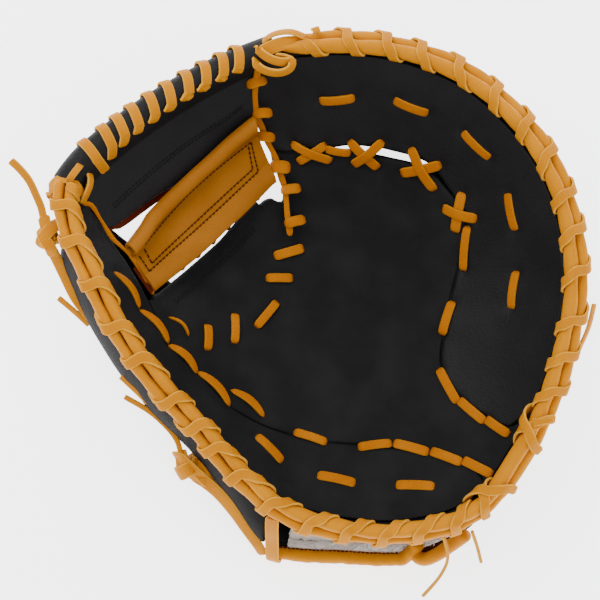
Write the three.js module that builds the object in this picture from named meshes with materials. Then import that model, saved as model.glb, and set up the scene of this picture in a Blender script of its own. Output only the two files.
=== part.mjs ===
// A first baseman's mitt of black and tan leather, lying on its back with the pocket up.
// Millimetres, +Z up, thumb towards -X, wrist opening towards -Y, web towards -X and +Y.
// The origin is on the floor, under the middle of the mitt's outline without its loose lace ends.
// Every panel is a leather wall laid on one pocket surface: a section from the pocket's lowest
// point to the rim, which changes as it turns round the pocket.

import * as THREE from "three";

// Overall form
const mittReach = 130; // pocket centre to rim where a section's reach is 1
const rimHeight = 108; // rim edge above the floor where a section's rise is 1
const pocketHeight = 34; // leather above the floor at the pocket's lowest point

// Leather and padding
const palmWall = 5;
const panelWall = 6; // padded finger and thumb panels
const backWall = 3;
const webWall = 2.4;
const strapWall = 3;
const fleecePile = 8;

// Clearances
const clearance = 0.4; // between leather faces that touch
const seamGap = 1.2; // between two panels laced edge to edge
const slitWidth = 5.5; // the open seam over the fingertips
const fingerWebBulge = 6; // how far the finger panel bows out towards the web

// Rim binding and laces
const bandWidth = 8.5;
const bandDepth = 6.2;
const bandDrop = 3; // middle of the two bands behind the palm side's face
const laceWidth = 6;
const laceThickness = 1.8;
const webLacePitch = 11;
const sideLaceDiameter = 3;

// Web
const liningWall = 1.6;
const webRollRadius = 7.5;
const webRollReach = 13; // from the roll's middle to where its two walls meet
const webSag = 5;
const webArch = 6; // how far the web's top edge bows outwards
const crossbarRollRadius = 4.4;
const crossbarRollReach = 10;
const liningShow = 0.055; // how far a lining stands out below its leather, in shares of the web

// Wrist strap
const strapWidth = 34;
const pipingDiameter = 7.5;
const loopWidth = 7;

// Loose lace ends
const tailDiameter = 4.6;
const knotLength = 21;
const knotDiameter = 12;

// The two rim laces, each from the heel to the web: where it starts as a share of the rim's length,
// the length of its first and last turn, and which way it winds.
const rimLaces = {
  rim_lace_finger: { from: 0.466, to: 0.009, firstPitch: 20.5, lastPitch: 20.5 },
  rim_lace_thumb: { from: 0.511, to: 0.984, firstPitch: 17.7, lastPitch: 23.4 },
};

// Angles round the pocket, in degrees from +X
const fingerWebDeg = 110.5;
const thumbWebDeg = 161;
const fingerHeelDeg = -36;
const thumbHeelDeg = 308.5;
const thumbWristDeg = 250.2;
const fingerWristDeg = 303;

// One row for each section round the pocket: reach of the rim in shares of mittReach, its rise in
// shares of rimHeight and the lean of the palm side at the rim in degrees from flat. For the back
// shell: how far it bulges past the rim in shares of mittReach, and where it tucks under and where
// it ends in shares of the section's own reach.
const sections = [
  { deg: 0, reach: 0.895, rise: 0.85, lean: 56, bulge: 0, tuck: 0.76, sole: 0.32 },
  { deg: 15, reach: 0.9, rise: 0.905, lean: 55, bulge: 0, tuck: 0.76, sole: 0.32 },
  { deg: 30, reach: 0.912, rise: 0.945, lean: 54, bulge: 0, tuck: 0.78, sole: 0.34 },
  { deg: 45, reach: 0.917, rise: 0.975, lean: 53, bulge: 0, tuck: 0.8, sole: 0.6 },
  { deg: 60, reach: 0.927, rise: 0.992, lean: 52, bulge: 0, tuck: 0.86, sole: 0.83 },
  { deg: 75, reach: 0.927, rise: 1.0, lean: 52, bulge: 0, tuck: 0.9, sole: 0.85 },
  { deg: 90, reach: 0.932, rise: 0.995, lean: 53, bulge: 0, tuck: 0.92, sole: 0.83 },
  { deg: 103, reach: 0.95, rise: 0.97, lean: 55, bulge: 0, tuck: 0.94, sole: 0.78 },
  { deg: 112, reach: 0.992, rise: 0.945, lean: 58, bulge: 0, tuck: 0.94, sole: 0.72 },
  { deg: 124, reach: 1, rise: 0.925, lean: 60, bulge: 0, tuck: 0.94, sole: 0.66 },
  { deg: 138, reach: 1.036, rise: 0.92, lean: 62, bulge: 0, tuck: 0.94, sole: 0.66 },
  { deg: 150, reach: 1.115, rise: 0.93, lean: 66, bulge: 0, tuck: 0.94, sole: 0.72 },
  { deg: 161, reach: 1.178, rise: 0.95, lean: 72, bulge: 0.035, tuck: 0.94, sole: 0.78 },
  { deg: 168, reach: 1.135, rise: 0.95, lean: 76, bulge: 0.06, tuck: 0.92, sole: 0.72 },
  { deg: 180, reach: 1.01, rise: 0.92, lean: 77, bulge: 0.085, tuck: 0.88, sole: 0.58 },
  { deg: 195, reach: 0.912, rise: 0.86, lean: 76, bulge: 0.1, tuck: 0.88, sole: 0.44 },
  { deg: 210, reach: 0.845, rise: 0.77, lean: 73, bulge: 0.1, tuck: 0.95, sole: 0.38 },
  { deg: 225, reach: 0.815, rise: 0.68, lean: 68, bulge: 0.11, tuck: 1.02, sole: 0.38 },
  { deg: 240, reach: 0.853, rise: 0.59, lean: 58, bulge: 0.13, tuck: 1.1, sole: 0.42 },
  { deg: 255, reach: 0.915, rise: 0.525, lean: 44, bulge: 0.17, tuck: 1.12, sole: 0.42 },
  { deg: 270, reach: 0.95, rise: 0.495, lean: 32, bulge: 0.1, tuck: 1, sole: 0.42 },
  { deg: 285, reach: 0.99, rise: 0.485, lean: 26, bulge: 0.05, tuck: 0.9, sole: 0.42 },
  { deg: 300, reach: 1.015, rise: 0.51, lean: 28, bulge: 0.02, tuck: 0.86, sole: 0.42 },
  { deg: 315, reach: 0.955, rise: 0.565, lean: 36, bulge: 0.01, tuck: 0.8, sole: 0.36 },
  { deg: 330, reach: 0.915, rise: 0.67, lean: 48, bulge: 0, tuck: 0.78, sole: 0.32 },
  { deg: 345, reach: 0.893, rise: 0.775, lean: 54, bulge: 0, tuck: 0.76, sole: 0.32 },
];

// The seam between finger panel and palm in plan, from the heel to the web, in shares of mittReach.
const fingerSeam = [
  { x: 0.672, y: -0.572 },
  { x: 0.568, y: -0.512 },
  { x: 0.466, y: -0.422 },
  { x: 0.404, y: -0.312 },
  { x: 0.427, y: -0.076 },
  { x: 0.49, y: 0.19 },
  { x: 0.497, y: 0.335 },
  { x: 0.403, y: 0.462 },
  { x: 0.275, y: 0.557 },
  { x: 0.148, y: 0.602 },
  { x: -0.002, y: 0.611 },
  { x: -0.14, y: 0.606 },
  { x: -0.25, y: 0.6 },
  { x: -0.315, y: 0.6 },
];
// Where the palm carries on past the finger panel, along the web.
const palmCorner = [
  { x: -0.285, y: 0.555 },
  { x: -0.236, y: 0.46 },
  { x: -0.238, y: 0.38 },
];
// The thumb panel's inner edge in plan, first along the web and then along the palm.
const thumbWebEdge = [
  { x: -1.066, y: 0.362 },
  { x: -0.985, y: 0.204 },
  { x: -0.911, y: 0.103 },
];
const thumbSeam = [
  { x: -0.826, y: -0.043 },
  { x: -0.744, y: -0.231 },
  { x: -0.62, y: -0.345 },
  { x: -0.49, y: -0.475 },
  { x: -0.36, y: -0.548 },
  { x: -0.215, y: -0.593 },
  { x: -0.088, y: -0.617 },
  { x: 0.125, y: -0.634 },
  { x: 0.348, y: -0.665 },
  { x: 0.49, y: -0.712 },
  { x: 0.604, y: -0.772 },
];

// The web's two side edges from its top (down 0) to the palm (down 1): plan in shares of mittReach
// and height in shares of rimHeight. Its leather panel ends at the row marked by webPanelEnd.
const webSides = [
  {
    down: 0,
    thumbX: -1.135, thumbY: 0.45, thumbUp: 0.963,
    fingerX: -0.357, fingerY: 0.962, fingerUp: 0.945,
  },
  {
    down: 0.4,
    thumbX: -1.006, thumbY: 0.285, thumbUp: 0.824,
    fingerX: -0.422, fingerY: 0.762, fingerUp: 0.77,
  },
  {
    down: 0.6,
    thumbX: -0.916, thumbY: 0.156, thumbUp: 0.704,
    fingerX: -0.405, fingerY: 0.66, fingerUp: 0.665,
  },
  {
    down: 0.85,
    thumbX: -0.827, thumbY: 0.03, thumbUp: 0.62,
    fingerX: -0.332, fingerY: 0.495, fingerUp: 0.53,
  },
  {
    down: 1,
    thumbX: -0.79, thumbY: -0.02, thumbUp: 0.583,
    fingerX: -0.3, fingerY: 0.405, fingerUp: 0.48,
  },
];
const webPanelEnd = { thumb: 0.4, finger: 0.54 };
const crossbarTop = { thumb: 0.6, finger: 0.55 };
const crossbarEnd = { thumb: 0.87, finger: 0.84 };

// The strap's piped edge from the thumb side round to the finger side.
const strapEdge = [
  { deg: 251.5, reach: 1.142, up: 0.13 },
  { deg: 260, reach: 1.115, up: 0.102 },
  { deg: 270, reach: 1.098, up: 0.102 },
  { deg: 285.4, reach: 1.133, up: 0.111 },
  { deg: 292.6, reach: 1.134, up: 0.185 },
  { deg: 298, reach: 1.132, up: 0.29 },
  { deg: 302.8, reach: 1.11, up: 0.35 },
];
const pipingEnds = { from: 251.5, to: 298 };

// Laces on the outside of the shells, each from its fast end: the angle round the pocket, the
// height in shares of rimHeight, and how far the lace's middle stands off the leather in its own
// diameters. The names that start with lace_end are loose ends.
const outerLaces = {
  strand_thumb_web: [
    { knot: "knot_thumb_web", end: -1 },
    { deg: 177.8, up: 0.722, stand: 1.6 },
    { deg: 182.6, up: 0.667, stand: 0.7 },
    { deg: 187.4, up: 0.62, stand: 0.62 },
  ],
  strand_thumb_wrist: [
    { knot: "knot_thumb_wrist", end: 1 },
    { deg: 241, up: 0.26, stand: 0.62 },
    { deg: 247, up: 0.21, stand: 0.62 },
  ],
  lace_end_thumb_wrist: [
    { knot: "knot_thumb_wrist", end: -1 },
    { deg: 220.4, up: 0.42, stand: 1 },
    { deg: 215.8, up: 0.463, stand: 0.8 },
    { deg: 210.2, up: 0.491, stand: 1.6 },
    { deg: 205, up: 0.5, stand: 3.6 },
  ],
  lace_end_thumb_upper: [
    { deg: 189.6, up: 0.56, stand: 0.5 },
    { deg: 183.4, up: 0.6, stand: 3 },
  ],
  lace_end_thumb_middle: [
    { deg: 209, up: 0.57, stand: 0.5 },
    { deg: 201.6, up: 0.6, stand: 2.6 },
  ],
};
// Loose ends that hang from the rim bands or a knot: plan in shares of mittReach, height in shares
// of rimHeight.
const hangingLaces = {
  lace_end_thumb_web: [
    { knot: "knot_thumb_web", end: 1 },
    { x: -1.281, y: 0.35, up: 0.87 },
    { x: -1.312, y: 0.425, up: 0.917 },
    { x: -1.389, y: 0.496, up: 0.944 },
  ],
  lace_end_heel_long: [
    { x: 0.4, y: -1.012, up: 0.405 },
    { x: 0.43, y: -1.146, up: 0.315 },
    { x: 0.391, y: -1.202, up: 0.25 },
    { x: 0.328, y: -1.27, up: 0.185 },
  ],
  lace_end_heel_short: [
    { x: 0.513, y: -0.943, up: 0.427 },
    { x: 0.565, y: -1.12, up: 0.315 },
  ],
  lace_end_finger: [
    { x: 0.955, y: -0.245, up: 0.7 },
    { x: 1.0, y: -0.085, up: 0.78 },
  ],
};
const laceKnots = {
  knot_thumb_web: { deg: 171.6, up: 0.815, stand: 0.5, turn: 93 },
  knot_thumb_wrist: { deg: 228.6, up: 0.35, stand: 1.55, turn: -48 },
};
// The loop that ties the strap to the rim: out from the pocket and height, in millimetres.
const strapLoopDeg = 252.2;
const strapLoopPath = [
  [136, 43],
  [144, 31],
  [152.3, 19.4],
  [154, 14.5],
  [152.4, 10],
  [148.4, 8.2],
];

const blackLeather = new THREE.MeshStandardMaterial({ color: 0x1b1a1b, roughness: 0.62 });
const tanLeather = new THREE.MeshStandardMaterial({ color: 0xd9942f, roughness: 0.55 });
const redSuede = new THREE.MeshStandardMaterial({ color: 0x5a2116, roughness: 0.9 });
const whiteFleece = new THREE.MeshStandardMaterial({ color: 0xe9e6e4, roughness: 1 });

const lerp = THREE.MathUtils.lerp;
const clamp = THREE.MathUtils.clamp;
const radians = THREE.MathUtils.degToRad;
const steps = (count) => Array.from({ length: count + 1 }, (_, i) => i / count);

// The value at x of a smooth line through the rows xs, ys, with slopes taken from the neighbours.
function smooth(xs, ys, x) {
  let i = 0;
  while (i < xs.length - 2 && xs[i + 1] <= x) i += 1;
  const slope = (k) => {
    const a = Math.max(k - 1, 0);
    const b = Math.min(k + 1, xs.length - 1);
    return (ys[b] - ys[a]) / (xs[b] - xs[a]);
  };
  const h = xs[i + 1] - xs[i];
  const s = clamp((x - xs[i]) / h, 0, 1);
  const s2 = s * s;
  const s3 = s2 * s;
  return (
    (2 * s3 - 3 * s2 + 1) * ys[i] +
    (s3 - 2 * s2 + s) * h * slope(i) +
    (3 * s2 - 2 * s3) * ys[i + 1] +
    (s3 - s2) * h * slope(i + 1)
  );
}

// The section of the mitt at an angle round the pocket, in millimetres and radians.
const wrapped = [
  ...sections.slice(-3).map((row) => ({ ...row, deg: row.deg - 360 })),
  ...sections,
  ...sections.slice(0, 3).map((row) => ({ ...row, deg: row.deg + 360 })),
];
const wrappedDegs = wrapped.map((row) => row.deg);
const columns = {};
for (const name of Object.keys(sections[0])) columns[name] = wrapped.map((row) => row[name]);

function sectionAt(deg) {
  const turned = THREE.MathUtils.euclideanModulo(deg, 360);
  const value = (name) => smooth(wrappedDegs, columns[name], turned);
  return {
    reach: value("reach") * mittReach,
    rise: value("rise") * rimHeight,
    lean: radians(value("lean")),
    bulge: value("bulge") * mittReach,
    tuck: value("tuck"),
    sole: value("sole"),
  };
}

const cubic = (p, s) =>
  (1 - s) ** 3 * p[0] + 3 * (1 - s) ** 2 * s * p[1] + 3 * (1 - s) * s * s * p[2] + s ** 3 * p[3];

// The palm side of a section: flat out of the pocket, then up to the rim at its lean.
const pocketFlat = 0.42;
const rimPull = 0.6;
function palmSide({ reach, rise, lean }) {
  const climb = rimPull * (rise - pocketHeight);
  return {
    out: [0, pocketFlat * reach, reach - climb / Math.tan(lean), reach],
    up: [pocketHeight, pocketHeight, rise - climb, rise],
  };
}

// A point in plan lifted on to the pocket surface.
function onPocket(x, y) {
  const section = palmSide(sectionAt(THREE.MathUtils.radToDeg(Math.atan2(y, x))));
  const out = Math.hypot(x, y);
  let low = 0;
  let high = 1;
  for (let i = 0; i < 30; i += 1) {
    const middle = (low + high) / 2;
    if (cubic(section.out, middle) < out) low = middle;
    else high = middle;
  }
  return new THREE.Vector3(x, y, cubic(section.up, (low + high) / 2));
}
function pocketFacing(x, y) {
  const tiny = 0.5;
  const acrossX = (onPocket(x + tiny, y).z - onPocket(x - tiny, y).z) / (2 * tiny);
  const acrossY = (onPocket(x, y + tiny).z - onPocket(x, y - tiny).z) / (2 * tiny);
  return new THREE.Vector3(-acrossX, -acrossY, 1).normalize();
}

// The rim edge at an angle, with the directions out past the edge, up off the palm and along it.
function rimPoint(deg) {
  const { reach, rise } = sectionAt(deg);
  return new THREE.Vector3(reach * Math.cos(radians(deg)), reach * Math.sin(radians(deg)), rise);
}
function rimFrame(deg) {
  const { lean } = sectionAt(deg);
  const turn = radians(deg);
  const rising = new THREE.Vector3(
    Math.cos(lean) * Math.cos(turn),
    Math.cos(lean) * Math.sin(turn),
    Math.sin(lean),
  );
  const along = rimPoint(deg + 1).sub(rimPoint(deg - 1)).normalize();
  const off = rising.clone().cross(along).normalize();
  const out = along.clone().cross(off);
  return { point: rimPoint(deg), along, off, out };
}

// A smooth line in plan through points given in millimetres, by share of its length.
function planLine(points, first = 0, last = points.length - 1) {
  const lengths = [0];
  for (let i = 1; i < points.length; i += 1)
    lengths.push(lengths[i - 1] + Math.hypot(points[i].x - points[i - 1].x, points[i].y - points[i - 1].y));
  const xs = points.map((p) => p.x);
  const ys = points.map((p) => p.y);
  const line = (share) => {
    const s = lerp(lengths[first], lengths[last], share);
    return new THREE.Vector2(smooth(lengths, xs, s), smooth(lengths, ys, s));
  };
  line.reach = lengths[last] - lengths[first];
  return line;
}
const inPlan = (rows) => rows.map((row) => new THREE.Vector2(row.x * mittReach, row.y * mittReach));
const rimInPlan = (deg) => {
  const p = rimPoint(deg);
  return new THREE.Vector2(p.x, p.y);
};

const fingerSide = [rimInPlan(fingerHeelDeg), ...inPlan(fingerSeam), ...inPlan(palmCorner)];
const thumbSide = [...inPlan(thumbWebEdge), ...inPlan(thumbSeam), rimInPlan(thumbHeelDeg)];
const fingerSeamLine = planLine(fingerSide, 0, fingerSeam.length);
const palmFingerLine = planLine(fingerSide);
const thumbSeamLine = planLine(thumbSide, thumbWebEdge.length);
const thumbEdgeLine = planLine(thumbSide);

// Turns a closed mesh's faces outwards.
function facingOut(geometry) {
  const p = geometry.getAttribute("position");
  const index = geometry.getIndex();
  const corner = (i) => new THREE.Vector3().fromBufferAttribute(p, index.getX(i));
  let volume = 0;
  for (let i = 0; i < index.count; i += 3)
    volume += corner(i).dot(corner(i + 1).cross(corner(i + 2)));
  if (volume < 0)
    for (let i = 0; i < index.count; i += 3) {
      const first = index.getX(i);
      index.setX(i, index.getX(i + 1));
      index.setX(i + 1, first);
    }
  geometry.computeVertexNormals();
  return geometry;
}

function closedGeometry(points, triangles) {
  const geometry = new THREE.BufferGeometry();
  const flat = points.flatMap((p) => [p.x, p.y, p.z]);
  geometry.setAttribute("position", new THREE.Float32BufferAttribute(flat, 3));
  geometry.setIndex(triangles);
  return facingOut(geometry);
}

// The normals of a grid of points, from the grid's own steps.
function gridNormals(rows) {
  const step = (list, i, pick) => {
    const a = pick(list[Math.max(i - 1, 0)]);
    const b = pick(list[Math.min(i + 1, list.length - 1)]);
    return b.clone().sub(a);
  };
  return rows.map((row, i) =>
    row.map((_, j) => step(rows, i, (r) => r[j]).cross(step(row, j, (p) => p)).normalize()),
  );
}

// A leather wall: its outer face is a grid of points, and its inner face lies a wall behind it.
function wallGeometry(rows, wall) {
  const normals = gridNormals(rows);
  const inner = rows.map((row, i) => row.map((p, j) => p.clone().addScaledVector(normals[i][j], -wall)));
  const m = rows[0].length;
  const n = rows.length;
  const front = (i, j) => i * m + j;
  const back = (i, j) => n * m + i * m + j;
  const triangles = [];
  const quad = (a, b, c, d) => triangles.push(a, b, c, a, c, d);
  for (let i = 0; i < n - 1; i += 1)
    for (let j = 0; j < m - 1; j += 1) {
      quad(front(i, j), front(i + 1, j), front(i + 1, j + 1), front(i, j + 1));
      quad(back(i, j), back(i, j + 1), back(i + 1, j + 1), back(i + 1, j));
    }
  for (let i = 0; i < n - 1; i += 1) {
    quad(front(i + 1, 0), front(i, 0), back(i, 0), back(i + 1, 0));
    quad(front(i, m - 1), front(i + 1, m - 1), back(i + 1, m - 1), back(i, m - 1));
  }
  for (let j = 0; j < m - 1; j += 1) {
    quad(front(0, j), front(0, j + 1), back(0, j + 1), back(0, j));
    quad(front(n - 1, j + 1), front(n - 1, j), back(n - 1, j), back(n - 1, j + 1));
  }
  return closedGeometry([...rows, ...inner].flat(), triangles);
}

// A solid through closed rings of points, with a fan over each end.
function ringGeometry(rings) {
  const m = rings[0].length;
  const n = rings.length;
  const points = rings.flat();
  const triangles = [];
  for (let i = 0; i < n - 1; i += 1)
    for (let j = 0; j < m; j += 1) {
      const k = (j + 1) % m;
      triangles.push(i * m + j, (i + 1) * m + j, (i + 1) * m + k, i * m + j, (i + 1) * m + k, i * m + k);
    }
  const middle = (ring) => ring.reduce((sum, p) => sum.add(p), new THREE.Vector3()).divideScalar(m);
  points.push(middle(rings[0]), middle(rings[n - 1]));
  for (let j = 0; j < m; j += 1) {
    const k = (j + 1) % m;
    triangles.push(n * m, j, k, n * m + 1, (n - 1) * m + k, (n - 1) * m + j);
  }
  return closedGeometry(points, triangles);
}

// An oval ring about a point, across the two given directions.
function ovalRing(centre, wide, halfWide, deep, halfDeep, sides) {
  return Array.from({ length: sides }, (_, k) => {
    const turn = ((k + 0.5) / sides) * 2 * Math.PI;
    return centre
      .clone()
      .addScaledVector(wide, halfWide * Math.cos(turn))
      .addScaledVector(deep, halfDeep * Math.sin(turn));
  });
}

// A round lace along a list of points.
function laceGeometry(points, diameter, sides, segments) {
  const curve = new THREE.CatmullRomCurve3(points);
  const frames = curve.computeFrenetFrames(segments, false);
  const radius = diameter / 2;
  const rings = steps(segments).map((share, i) =>
    ovalRing(curve.getPointAt(share), frames.normals[i], radius, frames.binormals[i], radius, sides),
  );
  return ringGeometry(rings);
}

const mitt = new THREE.Group();
const outline = new THREE.Box3();
function add(name, geometry, material, loose = false) {
  const mesh = new THREE.Mesh(geometry, material);
  mesh.name = name;
  mitt.add(mesh);
  if (!loose) outline.expandByObject(mesh);
  return mesh;
}

// The panels stop a little short of the point where their seams reach the rim.
const heelTrim = 0.035;
const heelTrimDeg = 3;
const seamStations = steps(20).map((u) => lerp(heelTrim, 1, u));

// The palm, from the heel to the web, between its two seams.
function palmPanel() {
  const shared = fingerSeamLine.reach / palmFingerLine.reach;
  const beyond = [0.35, 0.7, 1].map((u) => lerp(shared, 1, u));
  const stations = [0, ...seamStations.map((u) => u * shared), ...beyond];
  const rows = stations.map((station) => {
    const fromFinger = palmFingerLine(station);
    const toThumb = thumbSeamLine(1 - station);
    return steps(8).map((v) => {
      const p = fromFinger.clone().lerp(toThumb, v);
      return onPocket(p.x, p.y);
    });
  });
  return wallGeometry(rows, palmWall);
}

// How far the finger panel stands off the palm along their seam: a slit over the fingertips.
const slitStart = 0.52;
const slitEnd = 0.93;
function seamOpening(share) {
  const inSlit = clamp((share - slitStart) / (slitEnd - slitStart), 0, 1);
  return lerp(seamGap, slitWidth, Math.sin(Math.PI * inSlit));
}

// A padded panel between its inner edge and the rim, drawn in from the seam.
function rimPanel(inner, outer, opening, webBulge) {
  const rows = steps(20).reverse().map((u) => {
    const tiny = 0.005;
    const heading = inner(Math.min(u + tiny, 1)).sub(inner(Math.max(u - tiny, 0))).normalize();
    const from = inner(u).add(new THREE.Vector2(heading.y, -heading.x).multiplyScalar(opening(u)));
    const to = outer(u);
    const sideways = to.clone().sub(from).normalize().rotateAround(new THREE.Vector2(), Math.PI / 2);
    return steps(5).map((v) => {
      const p = from.clone().lerp(to, 1 - (1 - v) ** 1.4);
      p.addScaledVector(sideways, webBulge * u ** 6 * Math.sin(Math.PI * v));
      return onPocket(p.x, p.y);
    });
  });
  return wallGeometry(rows, panelWall);
}

const fingerInner = (u) => fingerSeamLine(lerp(heelTrim, 1, u));
const fingerOuter = (u) => rimInPlan(lerp(fingerHeelDeg + heelTrimDeg, fingerWebDeg, u));
const thumbInner = (u) => thumbEdgeLine(lerp(0, 1 - heelTrim, u));
const thumbOuter = (u) => rimInPlan(lerp(thumbWebDeg, thumbHeelDeg - heelTrimDeg, u));

add("palm_panel", palmPanel(), blackLeather);
add("finger_panel", rimPanel(fingerInner, fingerOuter, seamOpening, fingerWebBulge), blackLeather);
add("thumb_panel", rimPanel(thumbInner, thumbOuter, () => seamGap, 0), blackLeather);

// The back shells bulge out under the rim, roll under and lie flat on the floor. Towards the web
// they close against the panel in front.
const closedGap = 1;
const backPull = 0.5;
const bulgePull = 1.6;
const soleDip = 14;
const soleEndDip = 3;
const behindPanel = panelWall + clearance + backWall;
const rimShy = 0.985; // where the closed end of a shell is measured, just inside the rim
function backPoint(deg, share, closing) {
  const { reach, bulge, tuck, sole } = sectionAt(deg);
  const { point, off } = rimFrame(deg);
  const start = point.addScaledVector(off, -behindPanel);
  const away = new THREE.Vector3(Math.cos(radians(deg)), Math.sin(radians(deg)), 0);
  const corner = (out, up) => away.clone().multiplyScalar(out).setZ(up);
  const swell = start.clone().addScaledVector(away, bulgePull * bulge).setZ((1 - backPull) * start.z);
  const tucked = corner(tuck * reach + bulge, -soleDip);
  const corners = [start, swell, tucked, corner(sole * reach, -soleEndDip)];
  const along = (axis) => cubic(corners.map((p) => p[axis]), share);
  const open = new THREE.Vector3(along("x"), along("y"), Math.max(along("z"), 0));
  if (closing <= 0) return open;
  const inFront = away.clone().multiplyScalar(lerp(rimShy, sole, share) * reach);
  const front = onPocket(inFront.x, inFront.y);
  const facing = share === 0 ? off : pocketFacing(inFront.x, inFront.y);
  return open.lerp(front.addScaledVector(facing, -behindPanel - closedGap * closing), closing);
}
const closingDegs = 20;
function backShell(fromDeg, toDeg, closedDeg, segments) {
  const rows = steps(segments).map((u) => {
    const deg = lerp(toDeg, fromDeg, u);
    const closing = THREE.MathUtils.smoothstep(closingDegs - Math.abs(deg - closedDeg), 0, closingDegs);
    return steps(8).map((share) => backPoint(deg, share, closing));
  });
  return wallGeometry(rows, backWall);
}
add("finger_back", backShell(fingerWristDeg - 360, fingerWebDeg, fingerWebDeg, 24), blackLeather);
add("thumb_back", backShell(thumbWebDeg, thumbWristDeg, thumbWebDeg, 16), blackLeather);

// The rim by length, from the finger side of the web round to the thumb side.
const bandInset = { finger: 3, thumb: 0 };
const rimDegs = steps(300).map((u) =>
  lerp(fingerWebDeg - bandInset.finger, thumbWebDeg - 360 + bandInset.thumb, u),
);
const rimLengths = [0];
for (let i = 1; i < rimDegs.length; i += 1)
  rimLengths.push(rimLengths[i - 1] + rimPoint(rimDegs[i]).distanceTo(rimPoint(rimDegs[i - 1])));
const rimLength = rimLengths.at(-1);
const rimAt = (length) => rimFrame(smooth(rimLengths, rimDegs, length));

// Two rolled bands side by side past the rim edge, with a channel inside them for the lace.
const laceChannel = laceThickness + 2 * clearance;
const bandOut = laceChannel + bandWidth / 2;
const bandMiddle = -bandDrop;
const bandOff = (bandDepth + clearance) / 2;
function rimBand(side) {
  const rings = steps(54).map((u) => {
    const { point, off, out } = rimAt(u * rimLength);
    const centre = point.addScaledVector(out, bandOut).addScaledVector(off, bandMiddle + side * bandOff);
    const shrink = u === 0 || u === 1 ? 0.7 : 1;
    return ovalRing(centre, out, (shrink * bandWidth) / 2, off, (shrink * bandDepth) / 2, 8);
  });
  return ringGeometry(rings);
}
add("rim_band_palm", rimBand(1), tanLeather);
add("rim_band_back", rimBand(-1), tanLeather);

// A flat lace wound round a roll: the path is one turn, as steps to the side and off the roll.
function woundLace(frameAt, path, turns, direction) {
  const n = path.length;
  const rings = steps(turns * n).map((u, k) => {
    const { point, along, side, off } = frameAt(u);
    const at = (i) => path[THREE.MathUtils.euclideanModulo(direction * i, n)];
    const [sideways, upward] = at(k);
    const next = at(k + 1);
    const last = at(k - 1);
    const away = new THREE.Vector2(last[1] - next[1], next[0] - last[0]).normalize();
    const corner = (w, t) =>
      point
        .clone()
        .addScaledVector(side, sideways + (away.x * t * laceThickness) / 2)
        .addScaledVector(off, upward + (away.y * t * laceThickness) / 2)
        .addScaledVector(along, (w * laceWidth) / 2);
    return [corner(-1, -1), corner(1, -1), corner(1, 1), corner(-1, 1)];
  });
  return ringGeometry(rings);
}

const wrapHalfOut = bandWidth / 2 + clearance + laceThickness / 2;
const wrapHalfOff = bandDepth + clearance / 2 + clearance + laceThickness / 2;
const wrapCorner = 2.8;
const wrapPath = [
  [-wrapHalfOut, wrapHalfOff - wrapCorner],
  [-wrapHalfOut + wrapCorner, wrapHalfOff],
  [wrapHalfOut - wrapCorner, wrapHalfOff],
  [wrapHalfOut, wrapHalfOff - wrapCorner],
  [wrapHalfOut, -wrapHalfOff + wrapCorner],
  [wrapHalfOut - wrapCorner, -wrapHalfOff],
  [-wrapHalfOut + wrapCorner, -wrapHalfOff],
  [-wrapHalfOut, -wrapHalfOff + wrapCorner],
];
function rimLace({ from, to, firstPitch, lastPitch }) {
  const span = (to - from) * rimLength;
  const turns = Math.round((4 * Math.abs(span)) / (firstPitch + lastPitch)) / 2;
  const lean = (lastPitch - firstPitch) / (firstPitch + lastPitch);
  const frameAt = (u) => {
    const length = from * rimLength + span * (u * (1 - lean) + u * u * lean);
    const { point, along, off, out } = rimAt(length);
    point.addScaledVector(out, bandOut).addScaledVector(off, bandMiddle);
    return { point, along, side: out, off };
  };
  return woundLace(frameAt, wrapPath, turns, 1);
}
for (const [name, row] of Object.entries(rimLaces)) add(name, rimLace(row), tanLeather);

// A point on the web, with the directions down it, across it and out of its palm side.
const webDowns = webSides.map((row) => row.down);
function webSide(side, down) {
  const value = (axis) => smooth(webDowns, webSides.map((row) => row[side + axis]), down);
  return new THREE.Vector3(value("X") * mittReach, value("Y") * mittReach, value("Up") * rimHeight);
}
function webMiddle(across, down) {
  const thumb = webSide("thumb", down);
  const finger = webSide("finger", down);
  const outwards = finger.clone().sub(thumb).cross(new THREE.Vector3(0, 0, 1)).normalize().negate();
  const middle = 4 * across * (1 - across);
  const p = thumb.lerp(finger, across);
  p.addScaledVector(outwards, webArch * middle * Math.max(1 - down, 0));
  p.z -= webSag * middle * Math.sin(Math.PI * clamp(down, 0, 1));
  return p;
}
function webFrame(across, down) {
  const tiny = 0.01;
  const downward = webMiddle(across, down + tiny).sub(webMiddle(across, down - tiny)).normalize();
  const along = webMiddle(across + tiny, down).sub(webMiddle(across - tiny, down)).normalize();
  const face = downward.clone().cross(along).normalize();
  return { point: webMiddle(across, down), downward, along, face };
}
function onWeb(across, down, lift) {
  const { point, face } = webFrame(across, down);
  return point.addScaledVector(face, lift);
}
const webDepth = (across) => webMiddle(across, 0).distanceTo(webMiddle(across, 0.25)) * 4;

// A rolled edge seen from its end: up the front, over the top and back down behind, then closed.
const rollTurn = 8;
function rollProfile(radius, reach, lip) {
  const front = [
    [reach, lip],
    [reach * 0.55, lip + (radius - lip) * 0.55],
  ];
  const arc = steps(rollTurn).map((u) => [-radius * Math.sin(Math.PI * u), radius * Math.cos(Math.PI * u)]);
  return { front, arc, back: [front[1], front[0]].map(([down, lift]) => [down, -lift]) };
}

function webRoll() {
  const { front, arc, back } = rollProfile(webRollRadius, webRollReach, webWall + clearance);
  const rows = steps(8).map((u) => {
    const { point, downward, face } = webFrame(lerp(0.02, 0.985, u), 0);
    return [...front, ...arc, ...back].map(([down, lift]) =>
      point.clone().addScaledVector(downward, down).addScaledVector(face, lift),
    );
  });
  return wallGeometry(rows, webWall);
}
add("web_roll", webRoll(), blackLeather);

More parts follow.
